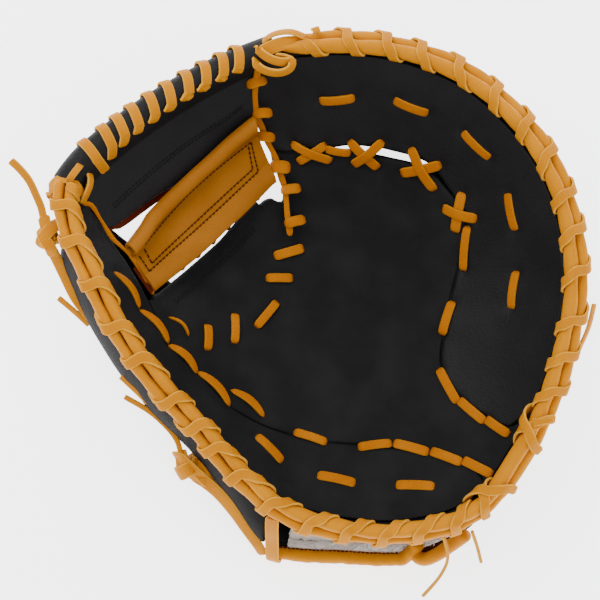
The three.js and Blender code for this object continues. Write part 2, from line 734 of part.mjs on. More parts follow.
// The flat part of the web below its roll, leaving a slit for the lace between them.
const webSlit = laceThickness + 3.5 * clearance;
function webSheet(from, to, lift, wall) {
  const rows = steps(8).reverse().map((across) =>
    steps(5).map((share) => {
      const start = from(across);
      return onWeb(across, lerp(start, to(across), share), lift(share));
    }),
  );
  return wallGeometry(rows, wall);
}
const panelStart = (across) => (webRollReach + webSlit) / webDepth(across);
const panelEnd = (across) => lerp(webPanelEnd.thumb, webPanelEnd.finger, across);
const frontLip = webWall / 2;
add("web_panel", webSheet(panelStart, panelEnd, () => frontLip, webWall), blackLeather);
const webLiningStart = (across) => panelStart(across) + liningShow;
const webLiningEnd = (across) => panelEnd(across) + liningShow;
const webLiningLift = frontLip - webWall - clearance;
add("web_lining", webSheet(webLiningStart, webLiningEnd, () => webLiningLift, liningWall), redSuede);

// The lace wound round the web's roll.
const barHalf = webRollRadius + clearance + laceThickness / 2;
const barShoulder = barHalf * Math.tan(Math.PI / 8);
const barFoot = webRollReach + clearance + laceThickness / 2;
const barLip = webWall + 2.5 * clearance + laceThickness / 6;
const barPath = [
  [3, barHalf],
  [-barShoulder, barHalf],
  [-barHalf, barShoulder],
  [-barHalf, -barShoulder],
  [-barShoulder, -barHalf],
  [3, -barHalf],
  [barFoot, -barLip],
  [barFoot, barLip],
];
const barLaceFrom = 0.06;
const barLaceTo = 0.9;
function barLace() {
  const length = webMiddle(barLaceFrom, 0).distanceTo(webMiddle(barLaceTo, 0));
  const turns = Math.round(length / webLacePitch);
  const frameAt = (u) => {
    const { point, downward, along, face } = webFrame(lerp(barLaceFrom, barLaceTo, u), 0);
    return { point, along, side: downward, off: face };
  };
  return woundLace(frameAt, barPath, turns, 1);
}
add("web_bar_lace", barLace(), tanLeather);

// The crossbar stands in front of the web: a rolled top edge, a stitched panel and a loose flap.
const crossbarLift = frontLip + clearance + webWall;
function crossbar() {
  const { front, arc, back } = rollProfile(crossbarRollRadius, crossbarRollReach, webWall / 2);
  const curl = [...back].reverse().slice(0, 1);
  const rows = steps(8).map((across) => {
    const top = lerp(crossbarTop.thumb, crossbarTop.finger, across);
    const bottom = lerp(crossbarEnd.thumb, crossbarEnd.finger, across);
    const { point, downward, face } = webFrame(across, top);
    point.addScaledVector(face, crossbarLift - webWall + crossbarRollRadius);
    const roll = [...arc, ...curl.map(([down, lift]) => [down * 0.2, lift * 0.4])].map(([down, lift]) =>
      point.clone().addScaledVector(downward, down).addScaledVector(face, lift),
    );
    const below = (crossbarRollReach * 1.1) / webDepth(across);
    const flat = steps(5).map((share) => {
      const down = lerp(bottom, top + below, share);
      const settle = THREE.MathUtils.smoothstep(share, 0.5, 1);
      return onWeb(across, down, crossbarLift + settle * crossbarRollRadius * 0.5);
    });
    return [...flat, ...roll];
  });
  return wallGeometry(rows, webWall);
}
add("web_crossbar", crossbar(), tanLeather);
const liningStart = (across) => lerp(crossbarTop.thumb, crossbarTop.finger, across) + 2 * liningShow;
const liningEnd = (across) => lerp(crossbarEnd.thumb, crossbarEnd.finger, across) + liningShow / 2;
add("crossbar_lining", webSheet(liningStart, liningEnd, () => frontLip, liningWall), redSuede);

// Cords down both sides of the web, in the gaps between it and the panels.
function sideLace(side, from, to) {
  const points = steps(5).map((share) => {
    const down = lerp(from, to, share);
    const width = webMiddle(0, down).distanceTo(webMiddle(1, down));
    return onWeb(side + (side - 0.5) * 2 * ((sideLaceDiameter / 2 + 1.7 * clearance) / width), down, 0);
  });
  return laceGeometry(points, sideLaceDiameter, 6, 12);
}
add("web_lace_thumb", sideLace(0, 0.22, 0.9), tanLeather);
add("web_lace_finger", sideLace(1, 0.27, 0.85), tanLeather);

// The wrist strap: its piped edge stands up from the floor and the rest lies on it.
const strapDegs = strapEdge.map((row) => row.deg);
function strapFrame(deg) {
  const value = (name) => smooth(strapDegs, strapEdge.map((row) => row[name]), deg);
  return { deg, reach: value("reach") * mittReach, up: value("up") * rimHeight };
}
const aroundPocket = (deg, out, up) =>
  new THREE.Vector3(out * Math.cos(radians(deg)), out * Math.sin(radians(deg)), up);
function strapPoint(deg, share, trim) {
  const { reach, up } = strapFrame(deg);
  const edge = reach - pipingDiameter / 2 - trim;
  const outward = [edge, edge - 1, edge - strapWidth * 0.3, edge - strapWidth];
  const upward = [up, up * 0.45, -3, 0];
  return aroundPocket(deg, cubic(outward, share), Math.max(cubic(upward, share), 0));
}
const strapFrom = thumbWristDeg + 0.2;
const strapTo = strapDegs.at(-1);
function strap() {
  const rows = steps(14).map((u) => {
    const deg = lerp(strapTo, strapFrom, u);
    return steps(6).map((share) => strapPoint(deg, share, clearance));
  });
  return wallGeometry(rows, strapWall);
}
add("wrist_strap", strap(), blackLeather);
const fleeceShortDeg = 5; // how far the fleece stops short of the strap's ends
function fleece() {
  const rows = steps(12).map((u) => {
    const deg = lerp(strapTo - fleeceShortDeg, strapFrom + fleeceShortDeg, u);
    return steps(5).map((share) => strapPoint(deg, lerp(0.14, 0.98, share), clearance));
  });
  const normals = gridNormals(rows);
  const behind = -strapWall - 2 * clearance;
  const under = rows.map((row, i) => row.map((p, j) => p.addScaledVector(normals[i][j], behind)));
  return wallGeometry(under, fleecePile);
}
add("strap_fleece", fleece(), whiteFleece);
function piping() {
  const points = steps(8).map((u) => {
    const { deg, reach, up } = strapFrame(lerp(pipingEnds.from, pipingEnds.to, u));
    return aroundPocket(deg, reach, up);
  });
  return laceGeometry(points, pipingDiameter, 8, 18);
}
add("strap_piping", piping(), tanLeather);

// The ribbon that loops the strap's piping to the rim.
function strapLoop() {
  const turn = radians(strapLoopDeg);
  const across = new THREE.Vector3(-Math.sin(turn), Math.cos(turn), 0);
  const path = strapLoopPath.map(([out, up]) => aroundPocket(strapLoopDeg, out, up));
  const curve = new THREE.CatmullRomCurve3(path);
  const rings = steps(10).map((share) => {
    const off = curve.getTangentAt(share).cross(across);
    const corner = (w, t) =>
      curve
        .getPointAt(share)
        .addScaledVector(across, (w * loopWidth) / 2)
        .addScaledVector(off, (t * laceThickness) / 2);
    return [corner(-1, -1), corner(1, -1), corner(1, 1), corner(-1, 1)];
  });
  return ringGeometry(rings);
}
add("strap_loop", strapLoop(), tanLeather);

// A point that stands off the outer face of a back shell.
function offShell({ deg, up, stand }) {
  let low = 0;
  let high = 1;
  for (let i = 0; i < 24; i += 1) {
    const middle = (low + high) / 2;
    if (backPoint(deg, middle, 0).z > up * rimHeight) low = middle;
    else high = middle;
  }
  const face = backPoint(deg, low, 0);
  const out = Math.hypot(face.x, face.y) + stand * tailDiameter;
  return aroundPocket(THREE.MathUtils.radToDeg(Math.atan2(face.y, face.x)), out, face.z);
}
const knotMiddles = {};
const knotHeadings = {};
for (const [name, row] of Object.entries(laceKnots)) {
  knotMiddles[name] = offShell(row);
  knotHeadings[name] = new THREE.Vector3(Math.cos(radians(row.turn)), Math.sin(radians(row.turn)), 0);
  const knot = new THREE.CapsuleGeometry(knotDiameter / 2, knotLength - knotDiameter, 3, 8);
  knot.rotateZ(radians(row.turn - 90));
  const middle = knotMiddles[name];
  add(name, knot.translate(middle.x, middle.y, middle.z), tanLeather);
}
function placed(row) {
  if (row.knot) {
    const outOfKnot = [clearance, clearance + 0.8 * tailDiameter].map((past) => {
      const reach = row.end * (knotLength / 2 + past);
      return knotMiddles[row.knot].clone().addScaledVector(knotHeadings[row.knot], reach);
    });
    return outOfKnot;
  }
  if (row.deg) return [offShell(row)];
  return [new THREE.Vector3(row.x * mittReach, row.y * mittReach, row.up * rimHeight)];
}
for (const [name, rows] of Object.entries({ ...outerLaces, ...hangingLaces }))
  add(
    name,
    laceGeometry(rows.flatMap(placed), tailDiameter, 6, 2 * rows.length),
    tanLeather,
    name.startsWith("lace_end"),
  );

// The floor is at height 0 and the origin under the middle of the outline.
const middle = outline.getCenter(new THREE.Vector3());
mitt.position.set(-middle.x, -middle.y, -outline.min.z);

export default mitt;
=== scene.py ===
# Looks for a first baseman's mitt lying palm up: its leather, laces, stitches and fleece.
# Shapes are worked out in millimetres round the pocket's middle and moved into the part's frame.

import math

import bmesh
import bpy
import numpy as np
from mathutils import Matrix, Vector


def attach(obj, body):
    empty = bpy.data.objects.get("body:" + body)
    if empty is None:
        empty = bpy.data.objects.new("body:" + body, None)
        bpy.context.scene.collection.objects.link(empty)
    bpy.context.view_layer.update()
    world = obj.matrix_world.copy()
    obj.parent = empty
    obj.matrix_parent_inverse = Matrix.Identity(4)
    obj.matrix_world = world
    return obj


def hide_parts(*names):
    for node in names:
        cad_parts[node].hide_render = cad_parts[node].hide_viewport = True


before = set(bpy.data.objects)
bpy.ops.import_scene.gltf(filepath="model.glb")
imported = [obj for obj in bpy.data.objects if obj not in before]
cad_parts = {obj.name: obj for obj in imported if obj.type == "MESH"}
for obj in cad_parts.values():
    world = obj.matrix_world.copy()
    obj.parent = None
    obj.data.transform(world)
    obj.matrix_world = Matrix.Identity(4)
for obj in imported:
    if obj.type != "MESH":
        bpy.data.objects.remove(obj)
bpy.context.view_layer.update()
chance = np.random.default_rng(11)

# Form of the mitt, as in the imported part
pocket = {"reach": 130.0, "rim": 108.0, "floor": 34.0, "flat": 0.42, "pull": 0.6, "halvings": 26}
place = np.array([15.5566, 6.0002, 0.0])
walls = {"palm": 5.0, "panel": 6.0, "back": 3.0, "web": 2.4, "strap": 3.0, "gap": 0.4}
webEnds = {"finger": 110.5, "thumb": 161.0}
heels = {"finger": -36.0, "thumb": 308.5, "trim": 0.035, "trimDeg": 3.0}
wrists = {"thumb": 252.0, "finger": 303.0}

# Sections round the pocket: degrees, reach, rise, lean, bulge, tuck and sole
sectionRows = np.array([
    [0, 0.895, 0.85, 56, 0, 0.76, 0.32],
    [15, 0.9, 0.905, 55, 0, 0.76, 0.32],
    [30, 0.912, 0.945, 54, 0, 0.78, 0.34],
    [45, 0.917, 0.975, 53, 0, 0.8, 0.6],
    [60, 0.927, 0.992, 52, 0, 0.86, 0.83],
    [75, 0.927, 1.0, 52, 0, 0.9, 0.85],
    [90, 0.932, 0.995, 53, 0, 0.92, 0.83],
    [103, 0.95, 0.97, 55, 0, 0.94, 0.78],
    [112, 0.992, 0.945, 58, 0, 0.94, 0.72],
    [124, 1.0, 0.925, 60, 0, 0.94, 0.66],
    [138, 1.036, 0.92, 62, 0, 0.94, 0.66],
    [150, 1.115, 0.93, 66, 0, 0.94, 0.72],
    [161, 1.178, 0.95, 72, 0.09, 0.94, 0.78],
    [168, 1.135, 0.95, 76, 0.135, 0.92, 0.72],
    [180, 1.01, 0.92, 77, 0.125, 0.88, 0.58],
    [195, 0.912, 0.86, 76, 0.115, 0.88, 0.44],
    [210, 0.845, 0.77, 73, 0.1, 0.95, 0.38],
    [225, 0.815, 0.68, 68, 0.09, 1.0, 0.38],
    [240, 0.853, 0.59, 58, 0.1, 1.06, 0.42],
    [255, 0.915, 0.525, 44, 0.17, 1.12, 0.42],
    [270, 0.95, 0.495, 32, 0.1, 1.0, 0.42],
    [285, 0.99, 0.485, 26, 0.05, 0.9, 0.42],
    [300, 1.015, 0.51, 28, 0.02, 0.86, 0.42],
    [315, 0.955, 0.565, 36, 0.01, 0.8, 0.36],
    [330, 0.915, 0.67, 48, 0, 0.78, 0.32],
    [345, 0.893, 0.775, 54, 0, 0.76, 0.32],
])
fullTurn = np.eye(1, 7) * 360
wrappedRows = np.vstack([sectionRows[-3:] - fullTurn, sectionRows, sectionRows[:3] + fullTurn])

# Seams in plan, in shares of the reach
fingerSeam = [
    [0.672, -0.572], [0.568, -0.512], [0.466, -0.422], [0.404, -0.312], [0.427, -0.076],
    [0.49, 0.19], [0.497, 0.335], [0.403, 0.462], [0.338, 0.522], [0.275, 0.546], [0.148, 0.577],
    [-0.002, 0.604], [-0.14, 0.606], [-0.25, 0.6], [-0.315, 0.6],
]
palmCorner = [[-0.285, 0.555], [-0.236, 0.46], [-0.238, 0.38]]
thumbWebEdge = [[-1.066, 0.362], [-0.985, 0.204], [-0.911, 0.103]]
thumbSeam = [
    [-0.826, -0.043], [-0.744, -0.231], [-0.62, -0.345], [-0.49, -0.475], [-0.36, -0.548],
    [-0.215, -0.593], [-0.088, -0.617], [0.125, -0.634], [0.348, -0.665], [0.49, -0.712],
    [0.604, -0.772],
]

# The web's side edges from top to palm: share down, thumb x, y and height, finger x, y and height
webSides = np.array([
    [0, -1.135, 0.45, 0.963, -0.357, 0.962, 0.945],
    [0.4, -1.006, 0.285, 0.824, -0.422, 0.762, 0.77],
    [0.6, -0.916, 0.156, 0.704, -0.405, 0.66, 0.665],
    [0.85, -0.827, 0.03, 0.62, -0.332, 0.495, 0.53],
    [1, -0.79, -0.02, 0.583, -0.3, 0.405, 0.48],
])
web = {"sag": 5.0, "arch": 6.0, "rollRadius": 7.5, "rollReach": 13.0, "step": 0.01}


# The value at x of a smooth line through xs, ys: a cubic between rows, with slopes from the neighbours.
def smoothLine(xs, ys, x):
    xs, ys, x = (np.asarray(a, float) for a in (xs, ys, x))
    rows = np.arange(len(xs))
    before, after = np.maximum(rows - 1, 0), np.minimum(rows + 1, len(xs) - 1)
    run = xs[after] - xs[before]
    slope = (ys[after] - ys[before]) / (run if ys.ndim == 1 else run[:, None])
    i = np.clip(np.searchsorted(xs, x, side="right") - 1, 0, len(xs) - 2)
    h = xs[i + 1] - xs[i]
    s = np.clip((x - xs[i]) / h, 0, 1)
    if ys.ndim == 2:
        h, s = h[..., None], s[..., None]
    return (
        (2 * s**3 - 3 * s**2 + 1) * ys[i]
        + (s**3 - 2 * s**2 + s) * h * slope[i]
        + (3 * s**2 - 2 * s**3) * ys[i + 1]
        + (s**3 - s**2) * h * slope[i + 1]
    )


# The same smooth line through places, by the length of the straight steps between them.
def smoothPath(rows, count):
    rows = np.asarray(rows, float)
    lengths = np.concatenate([[0], np.cumsum(np.linalg.norm(np.diff(rows, axis=0), axis=1))])
    return smoothLine(lengths, rows, np.linspace(0, lengths[-1], count))


# Each vector over its own length.
def unit(a):
    return a / np.maximum(np.linalg.norm(a, axis=-1, keepdims=True), 1e-9)


# Three t squared less two t cubed, where t is how far x is from low to high.
def smoothStep(x, low, high):
    t = np.clip((x - low) / (high - low), 0, 1)
    return t * t * (3 - 2 * t)


# The section at an angle, from its rows: reach, rise and bulge in millimetres, the lean in radians.
def section(deg):
    row = smoothLine(wrappedRows[:, 0], wrappedRows[:, 1:], np.mod(deg, 360))
    reach, rise, lean, bulge, tuck, sole = np.moveaxis(row, -1, 0)
    reach, rise, bulge = reach * pocket["reach"], rise * pocket["rim"], bulge * pocket["reach"]
    return reach, rise, np.radians(lean), bulge, tuck, sole


# A cubic curve pulled by four corners, whose weights are those of s and one less s to the third power.
def cubic(corners, s):
    a, b, c, d = corners
    return (1 - s) ** 3 * a + 3 * (1 - s) ** 2 * s * b + 3 * (1 - s) * s * s * c + s**3 * d


# Height of the pocket over a point in plan: the section's out curve is solved by halving.
def pocketHeight(x, y):
    reach, rise, lean = section(np.degrees(np.arctan2(y, x)))[:3]
    climb = pocket["pull"] * (rise - pocket["floor"])
    outs = (0 * reach, pocket["flat"] * reach, reach - climb / np.tan(lean), reach)
    ups = (pocket["floor"], pocket["floor"], rise - climb, rise)
    out = np.hypot(x, y)
    low, high = np.zeros_like(out), np.ones_like(out)
    for _ in range(pocket["halvings"]):
        middle = (low + high) / 2
        below = cubic(outs, middle) < out
        low, high = np.where(below, middle, low), np.where(below, high, middle)
    return cubic(ups, (low + high) / 2)


# A point in plan lifted on to the pocket.
def onPocket(plan):
    plan = np.asarray(plan, float)
    return np.concatenate([plan, pocketHeight(plan[..., 0], plan[..., 1])[..., None]], -1)


# The pocket's facing: one upwards, less the climb in a millimetre along x and along y.
def pocketFacing(plan):
    x, y = plan[..., 0], plan[..., 1]
    acrossX = pocketHeight(x + 0.5, y) - pocketHeight(x - 0.5, y)
    acrossY = pocketHeight(x, y + 0.5) - pocketHeight(x, y - 0.5)
    return unit(np.stack([-acrossX, -acrossY, np.ones_like(x)], -1))


# The rim in the round: reach by the angle's cosine and sine, at the section's rise.
def rimPoint(deg):
    reach, rise = section(deg)[:2]
    turn = np.radians(deg)
    return np.stack([reach * np.cos(turn), reach * np.sin(turn), rise], -1)


# The rim's directions: along it, off the palm square to the leaning section, and away out of the edge.
def rimFrame(deg):
    deg = np.asarray(deg, float)
    lean, turn = section(deg)[2], np.radians(deg)
    rising = np.stack([np.cos(lean) * np.cos(turn), np.cos(lean) * np.sin(turn), np.sin(lean)], -1)
    along = unit(rimPoint(deg + 1) - rimPoint(deg - 1))
    off = unit(np.cross(rising, along))
    return rimPoint(deg), along, off, np.cross(along, off)


# A smooth line in plan by share of its length between two of its points.
def planLine(points, first=0, last=None):
    points = np.asarray(points, float)
    last = len(points) - 1 if last is None else last
    lengths = np.concatenate([[0], np.cumsum(np.linalg.norm(np.diff(points, axis=0), axis=1))])
    start, end = lengths[first], lengths[last]

    def line(share):
        return smoothLine(lengths, points, start + (end - start) * share)

    return line, end - start


# Shares of the reach in millimetres.
def inPlan(rows):
    return np.array(rows) * pocket["reach"]


def rimPlan(deg):
    return rimPoint(deg)[..., :2]


fingerSide = np.vstack([rimPlan(heels["finger"]), inPlan(fingerSeam), inPlan(palmCorner)])
thumbSide = np.vstack([inPlan(thumbWebEdge), inPlan(thumbSeam), rimPlan(heels["thumb"])])
fingerSeamLine, fingerSeamReach = planLine(fingerSide, 0, len(fingerSeam))
thumbSeamLine = planLine(thumbSide, len(thumbWebEdge))[0]
thumbEdgeLine, thumbEdgeReach = planLine(thumbSide)

# The rim by length, from the finger side of the web round to its thumb side
rimDegs = np.linspace(webEnds["finger"] - 3, webEnds["thumb"] - 360, 301)
rimSteps = np.linalg.norm(np.diff(rimPoint(rimDegs), axis=0), axis=1)
rimLengths = np.concatenate([[0], np.cumsum(rimSteps)])
rimLength = rimLengths[-1]
rim = {"bandWide": 8.5, "bandDeep": 6.2, "drop": 3.0, "out": 6.85, "off": 3.3}


# A point in the rim's own space: length along it, then out past the edge and up off the palm.
def rimSpace(length, out, up):
    point, along, off, away = rimFrame(smoothLine(rimLengths, rimDegs, length))
    middle = point + away * rim["out"] - off * rim["drop"]
    return middle + away * np.asarray(out)[..., None] + off * np.asarray(up)[..., None]


# The direction in the rim's own space with these shares of out and up.
def rimDirection(length, out, up):
    _, _, off, away = rimFrame(smoothLine(rimLengths, rimDegs, length))
    return unit(away * np.asarray(out)[..., None] + off * np.asarray(up)[..., None])


# The web's middle layer: straight from the thumb's edge to the finger's, with a parabola's arch out
# at the top and a sine's sag between top and palm.
def webMiddle(across, down):
    across, down = np.broadcast_arrays(np.asarray(across, float), np.asarray(down, float))
    row = smoothLine(webSides[:, 0], webSides[:, 1:], np.clip(down, 0, 1))
    reach = np.array([pocket["reach"], pocket["reach"], pocket["rim"]])
    thumb, finger = row[..., :3] * reach, row[..., 3:] * reach
    outward = -unit(np.cross(finger - thumb, np.array([0, 0, 1.0])))
    bow = 4 * across * (1 - across)
    p = thumb + (finger - thumb) * across[..., None]
    p = p + outward * (web["arch"] * bow * np.maximum(1 - down, 0))[..., None]
    p[..., 2] -= web["sag"] * bow * np.sin(np.pi * np.clip(down, 0, 1))
    return p


# The web's place, its directions down and along by small steps, and its face square to both.
def webFrame(across, down):
    step = web["step"]
    low = np.clip(np.asarray(down) - step, 0, 1)
    downward = unit(webMiddle(across, low + 2 * step) - webMiddle(across, low))
    along = unit(webMiddle(np.asarray(across) + step, down) - webMiddle(np.asarray(across) - step, down))
    return webMiddle(across, down), downward, unit(np.cross(downward, along))


# A place lifted off the web's middle layer along its face.
def onWeb(across, down, lift):
    point, _, face = webFrame(across, down)
    return point + face * np.asarray(lift, float)[..., None]


# The web's length from top to palm, as four times its first quarter.
def webDepth(across):
    return np.linalg.norm(webMiddle(across, 0) - webMiddle(across, 0.25), axis=-1) * 4


# Mesh building: a part is its corners, four-sided faces and how much each corner lies on a cut edge.
# The faces join each corner of a grid to the next row and column, or to the first column if around.
def gridQuads(rows, columns, around=False):
    i, j = np.meshgrid(np.arange(rows - 1), np.arange(columns if around else columns - 1), indexing="ij")
    k = (j + 1) % columns
    quads = np.stack([i * columns + j, (i + 1) * columns + j, (i + 1) * columns + k, i * columns + k], -1)
    return quads.reshape(-1, 4)


# Square to the grid's rows and columns, on the side that mostly looks towards a direction.
def gridNormals(points, towards):
    across = unit(np.cross(np.gradient(points, axis=0), np.gradient(points, axis=1)))
    return across * np.sign(np.sum(across * towards))


# Shares along a line of a given length, crowded at both ends so that its edges can turn over.
def edgeShares(length, radius, count, corners=5):
    corner = radius * (1 - np.cos(np.linspace(0, np.pi / 2, corners)))[:-1]
    steps = np.concatenate([corner, np.linspace(radius, length - radius, count), length - corner[::-1]])
    return steps / length, np.minimum(steps, length - steps)


# A leather wall behind a grid of points. Near its edges the front and back sink by the radius less
# the root of the radius squared less the two distances squared: a quarter circle.
def wall(points, normals, fromRow, fromColumn, thickness, radius):
    a = np.clip(radius - fromRow, 0, radius)[:, None]
    b = np.clip(radius - fromColumn, 0, radius)[None, :]
    sunk = radius - np.sqrt(np.clip(radius**2 - a * a - b * b, 0, None))
    front = points - normals * sunk[..., None]
    back = points - normals * (thickness - sunk)[..., None]
    n, m = points.shape[:2]
    loop = np.concatenate([
        np.arange(m), np.arange(1, n) * m + m - 1,
        (n - 1) * m + np.arange(m - 2, -1, -1), np.arange(n - 2, 0, -1) * m,
    ])
    after = np.roll(loop, -1)
    rimQuads = np.stack([loop, after, after + n * m, loop + n * m], -1)
    quads = gridQuads(n, m)
    cut = np.zeros(n * m)
    cut[loop] = 1
    return (
        np.concatenate([front.reshape(-1, 3), back.reshape(-1, 3)]),
        np.concatenate([quads, quads[:, ::-1] + n * m, rimQuads]),
        np.concatenate([cut, cut]),
    )


# Outline of a strip of lace, one wide and one thick
stripShape = np.array([
    (-0.5, -0.12), (-0.46, -0.42), (-0.3, -0.5), (0.3, -0.5), (0.46, -0.42), (0.5, -0.12),
    (0.5, 0.12), (0.46, 0.42), (0.3, 0.5), (-0.3, 0.5), (-0.46, 0.42), (-0.5, 0.12),
])


# A circle's cosine and sine, one across.
def roundShape(sides):
    turn = np.arange(sides) * 2 * np.pi / sides
    return 0.5 * np.stack([np.cos(turn), np.sin(turn)], -1)


# A closed strip or cord along a path: each ring is the shape, wide across and thick along up, and the
# two ends close at their middles.
def sweep(path, up, wide, thick, shape=stripShape):
    path = np.asarray(path, float)
    along = unit(np.gradient(path, axis=0))
    side = unit(np.cross(along, np.broadcast_to(up, path.shape)))
    over = np.cross(side, along)
    wide = np.broadcast_to(wide, len(path))[:, None, None]
    thick = np.broadcast_to(thick, len(path))[:, None, None]
    across, through = side[:, None] * shape[:, 0, None] * wide, over[:, None] * shape[:, 1, None] * thick
    rings = path[:, None] + across + through
    ends = [np.repeat(ring.mean(0)[None, None], len(shape), 1) for ring in (rings[0], rings[-1])]
    rings = np.concatenate([ends[0], rings, ends[1]])
    cut = np.zeros(rings.shape[:2])
    cut[:, np.abs(shape[:, 0]) > 0.45] = 1
    cut[[0, -1]] = 1
    return rings.reshape(-1, 3), gridQuads(len(rings), len(shape), True), cut.ravel()


# A lace whose ends narrow as a quarter circle over a share of its length.
def lacing(path, up, wide, thick, rounding=0.12):
    taper = np.ones(len(path))
    ends = max(int(len(path) * rounding), 1)
    curve = np.sqrt(1 - (1 - (np.arange(ends) + 0.6) / (ends + 0.6)) ** 2)
    taper[:ends], taper[-ends:] = curve, curve[::-1]
    return sweep(path, up, wide * taper, thick)


mergeReach = 2e-6


# One object from its parts, at the origin, on the mitt's one body.
def makePiece(name, parts, material, stands=()):
    corners, faces, cuts, count = [], [], [], 0
    for points, quads, cut in parts:
        corners.append(points)
        faces.append(quads + count)
        cuts.append(cut)
        count += len(points)
    mesh = bpy.data.meshes.new(name)
    mesh.from_pydata(((np.concatenate(corners) + place) / 1000).tolist(), [], np.concatenate(faces).tolist())
    mesh.attributes.new("cut", "FLOAT", "POINT").data.foreach_set("value", np.concatenate(cuts))
    work = bmesh.new()
    work.from_mesh(mesh)
    bmesh.ops.remove_doubles(work, verts=work.verts, dist=mergeReach)
    bmesh.ops.recalc_face_normals(work, faces=work.faces)
    work.to_mesh(mesh)
    work.free()
    mesh.shade_smooth()
    mesh.materials.append(material)
    piece = bpy.data.objects.new(name, mesh)
    bpy.context.scene.collection.objects.link(piece)
    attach(piece, "root")
    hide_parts(*stands)
    print(name, len(mesh.polygons), "faces")
    return piece


# A node's name as a piece's name: its words run together, all but the first with a capital.
def pieceName(node):
    return "".join(word.title() if k else word for k, word in enumerate(node.split("_")))


def blend(a, b, share):
    return a + (b - a) * share


# Leather, lace, fleece and thread: two colours in slow patches, a third on cut edges, and a grain of
# small cells and noise as bump. The specular tint is the base colour's root over its largest part.
def leather(name, base, other, cut, roughness, grain, depth, sheen=0.0, shine=0.22):
    material = bpy.data.materials.new(name)
    material.use_nodes = True
    nodes, links = material.node_tree.nodes, material.node_tree.links
    shader = nodes["Principled BSDF"]
    shader.inputs["Specular IOR Level"].default_value = shine
    shader.inputs["Specular Tint"].default_value = (*np.sqrt(np.array(base) / max(base)), 1)
    shader.inputs["Sheen Weight"].default_value = sheen
    where = nodes.new("ShaderNodeTexCoord")

    def noise(scale, detail):
        node = nodes.new("ShaderNodeTexNoise")
        node.inputs["Scale"].default_value = scale
        node.inputs["Detail"].default_value = detail
        links.new(where.outputs["Object"], node.inputs["Vector"])
        return node.outputs["Fac"]

    def mix(factor, a, b):
        node = nodes.new("ShaderNodeMix")
        node.data_type = "RGBA"
        for socket, value in ((node.inputs[0], factor), (node.inputs[6], a), (node.inputs[7], b)):
            if isinstance(value, bpy.types.NodeSocket):
                links.new(value, socket)
            else:
                socket.default_value = value if isinstance(value, float) else (*value, 1)
        return node.outputs[2]

    def spread(value, low, high, start=0.0, end=1.0):
        node = nodes.new("ShaderNodeMapRange")
        node.inputs["From Min"].default_value = low
        node.inputs["From Max"].default_value = high
        node.inputs["To Min"].default_value = start
        node.inputs["To Max"].default_value = end
        links.new(value, node.inputs["Value"])
        return node.outputs["Result"]

    # Two colours in slow noise patches: on the black leathers the lighter one is painted sheen.
    colour = mix(spread(noise(45, 3), 0.35, 0.68), base, other)
    edge = nodes.new("ShaderNodeAttribute")
    edge.attribute_name = "cut"
    colour = mix(spread(edge.outputs["Fac"], 0.45, 1.0), colour, cut)
    links.new(colour, shader.inputs["Base Color"])
    # Cut edges are dull, the leather's faces shine a little.
    links.new(spread(edge.outputs["Fac"], 0.2, 0.9, roughness, 1.0), shader.inputs["Roughness"])
    cells = nodes.new("ShaderNodeTexVoronoi")
    cells.inputs["Scale"].default_value = grain
    links.new(where.outputs["Object"], cells.inputs["Vector"])
    heights = nodes.new("ShaderNodeMath")
    heights.operation = "ADD"
    links.new(cells.outputs["Distance"], heights.inputs[0])
    links.new(noise(grain * 0.45, 4), heights.inputs[1])
    bump = nodes.new("ShaderNodeBump")
    bump.inputs["Strength"].default_value = 1.0
    bump.inputs["Distance"].default_value = depth
    links.new(heights.outputs[0], bump.inputs["Height"])
    links.new(bump.outputs["Normal"], shader.inputs["Normal"])
    return material


finishes = {
    # On the two black leathers the lighter other colour, laid in slow patches, is painted sheen.
    "black": {"base": (0.0022, 0.0021, 0.0023), "other": (0.0045, 0.0043, 0.0046),
              "cut": (0.002, 0.002, 0.002), "roughness": 0.62, "grain": 900, "depth": 0.00016},
    "palmBlack": {"base": (0.0055, 0.0054, 0.0057), "other": (0.0098, 0.0095, 0.0099), "shine": 0.12,
                  "cut": (0.002, 0.002, 0.002), "roughness": 0.82, "grain": 900, "depth": 0.00016},
    "tan": {"base": (0.5, 0.178, 0.001), "other": (0.57, 0.215, 0.003),
            "cut": (0.6, 0.28, 0.02), "roughness": 0.55, "grain": 1100, "depth": 0.0001},
    "lace": {"base": (0.46, 0.158, 0.001), "other": (0.53, 0.195, 0.003),
             "cut": (0.62, 0.3, 0.03), "roughness": 0.6, "grain": 1000, "depth": 0.00015},
    "stitch": {"base": (0.32, 0.09, 0.001), "other": (0.38, 0.12, 0.003),
               "cut": (0.4, 0.15, 0.006), "roughness": 0.6, "grain": 1000, "depth": 0.00015},
    "barTan": {"base": (0.235, 0.078, 0.006), "other": (0.285, 0.1, 0.009),
               "cut": (0.4, 0.16, 0.012), "roughness": 0.55, "grain": 1100, "depth": 0.0001},
    "suede": {"base": (0.07, 0.009, 0.003), "other": (0.1, 0.015, 0.006), "sheen": 0.03, "shine": 0.06,
              "cut": (0.09, 0.015, 0.006), "roughness": 0.95, "grain": 1500, "depth": 0.0002},
    "fleece": {"base": (0.8, 0.77, 0.74), "other": (0.88, 0.86, 0.84), "sheen": 0.4,
               "cut": (0.85, 0.83, 0.8), "roughness": 0.95, "grain": 700, "depth": 0.0003},
    "thread": {"base": (0.03, 0.006, 0.002), "other": (0.045, 0.01, 0.004),
               "cut": (0.03, 0.006, 0.002), "roughness": 0.7, "grain": 3000, "depth": 0.00005},
    "darkThread": {"base": (0.002, 0.002, 0.002), "other": (0.003, 0.003, 0.003),
                   "cut": (0.002, 0.002, 0.002), "roughness": 0.8, "grain": 3000, "depth": 0.00005},
}
looks = {name: leather(name, **finish) for name, finish in finishes.items()}
print("materials", len(looks))

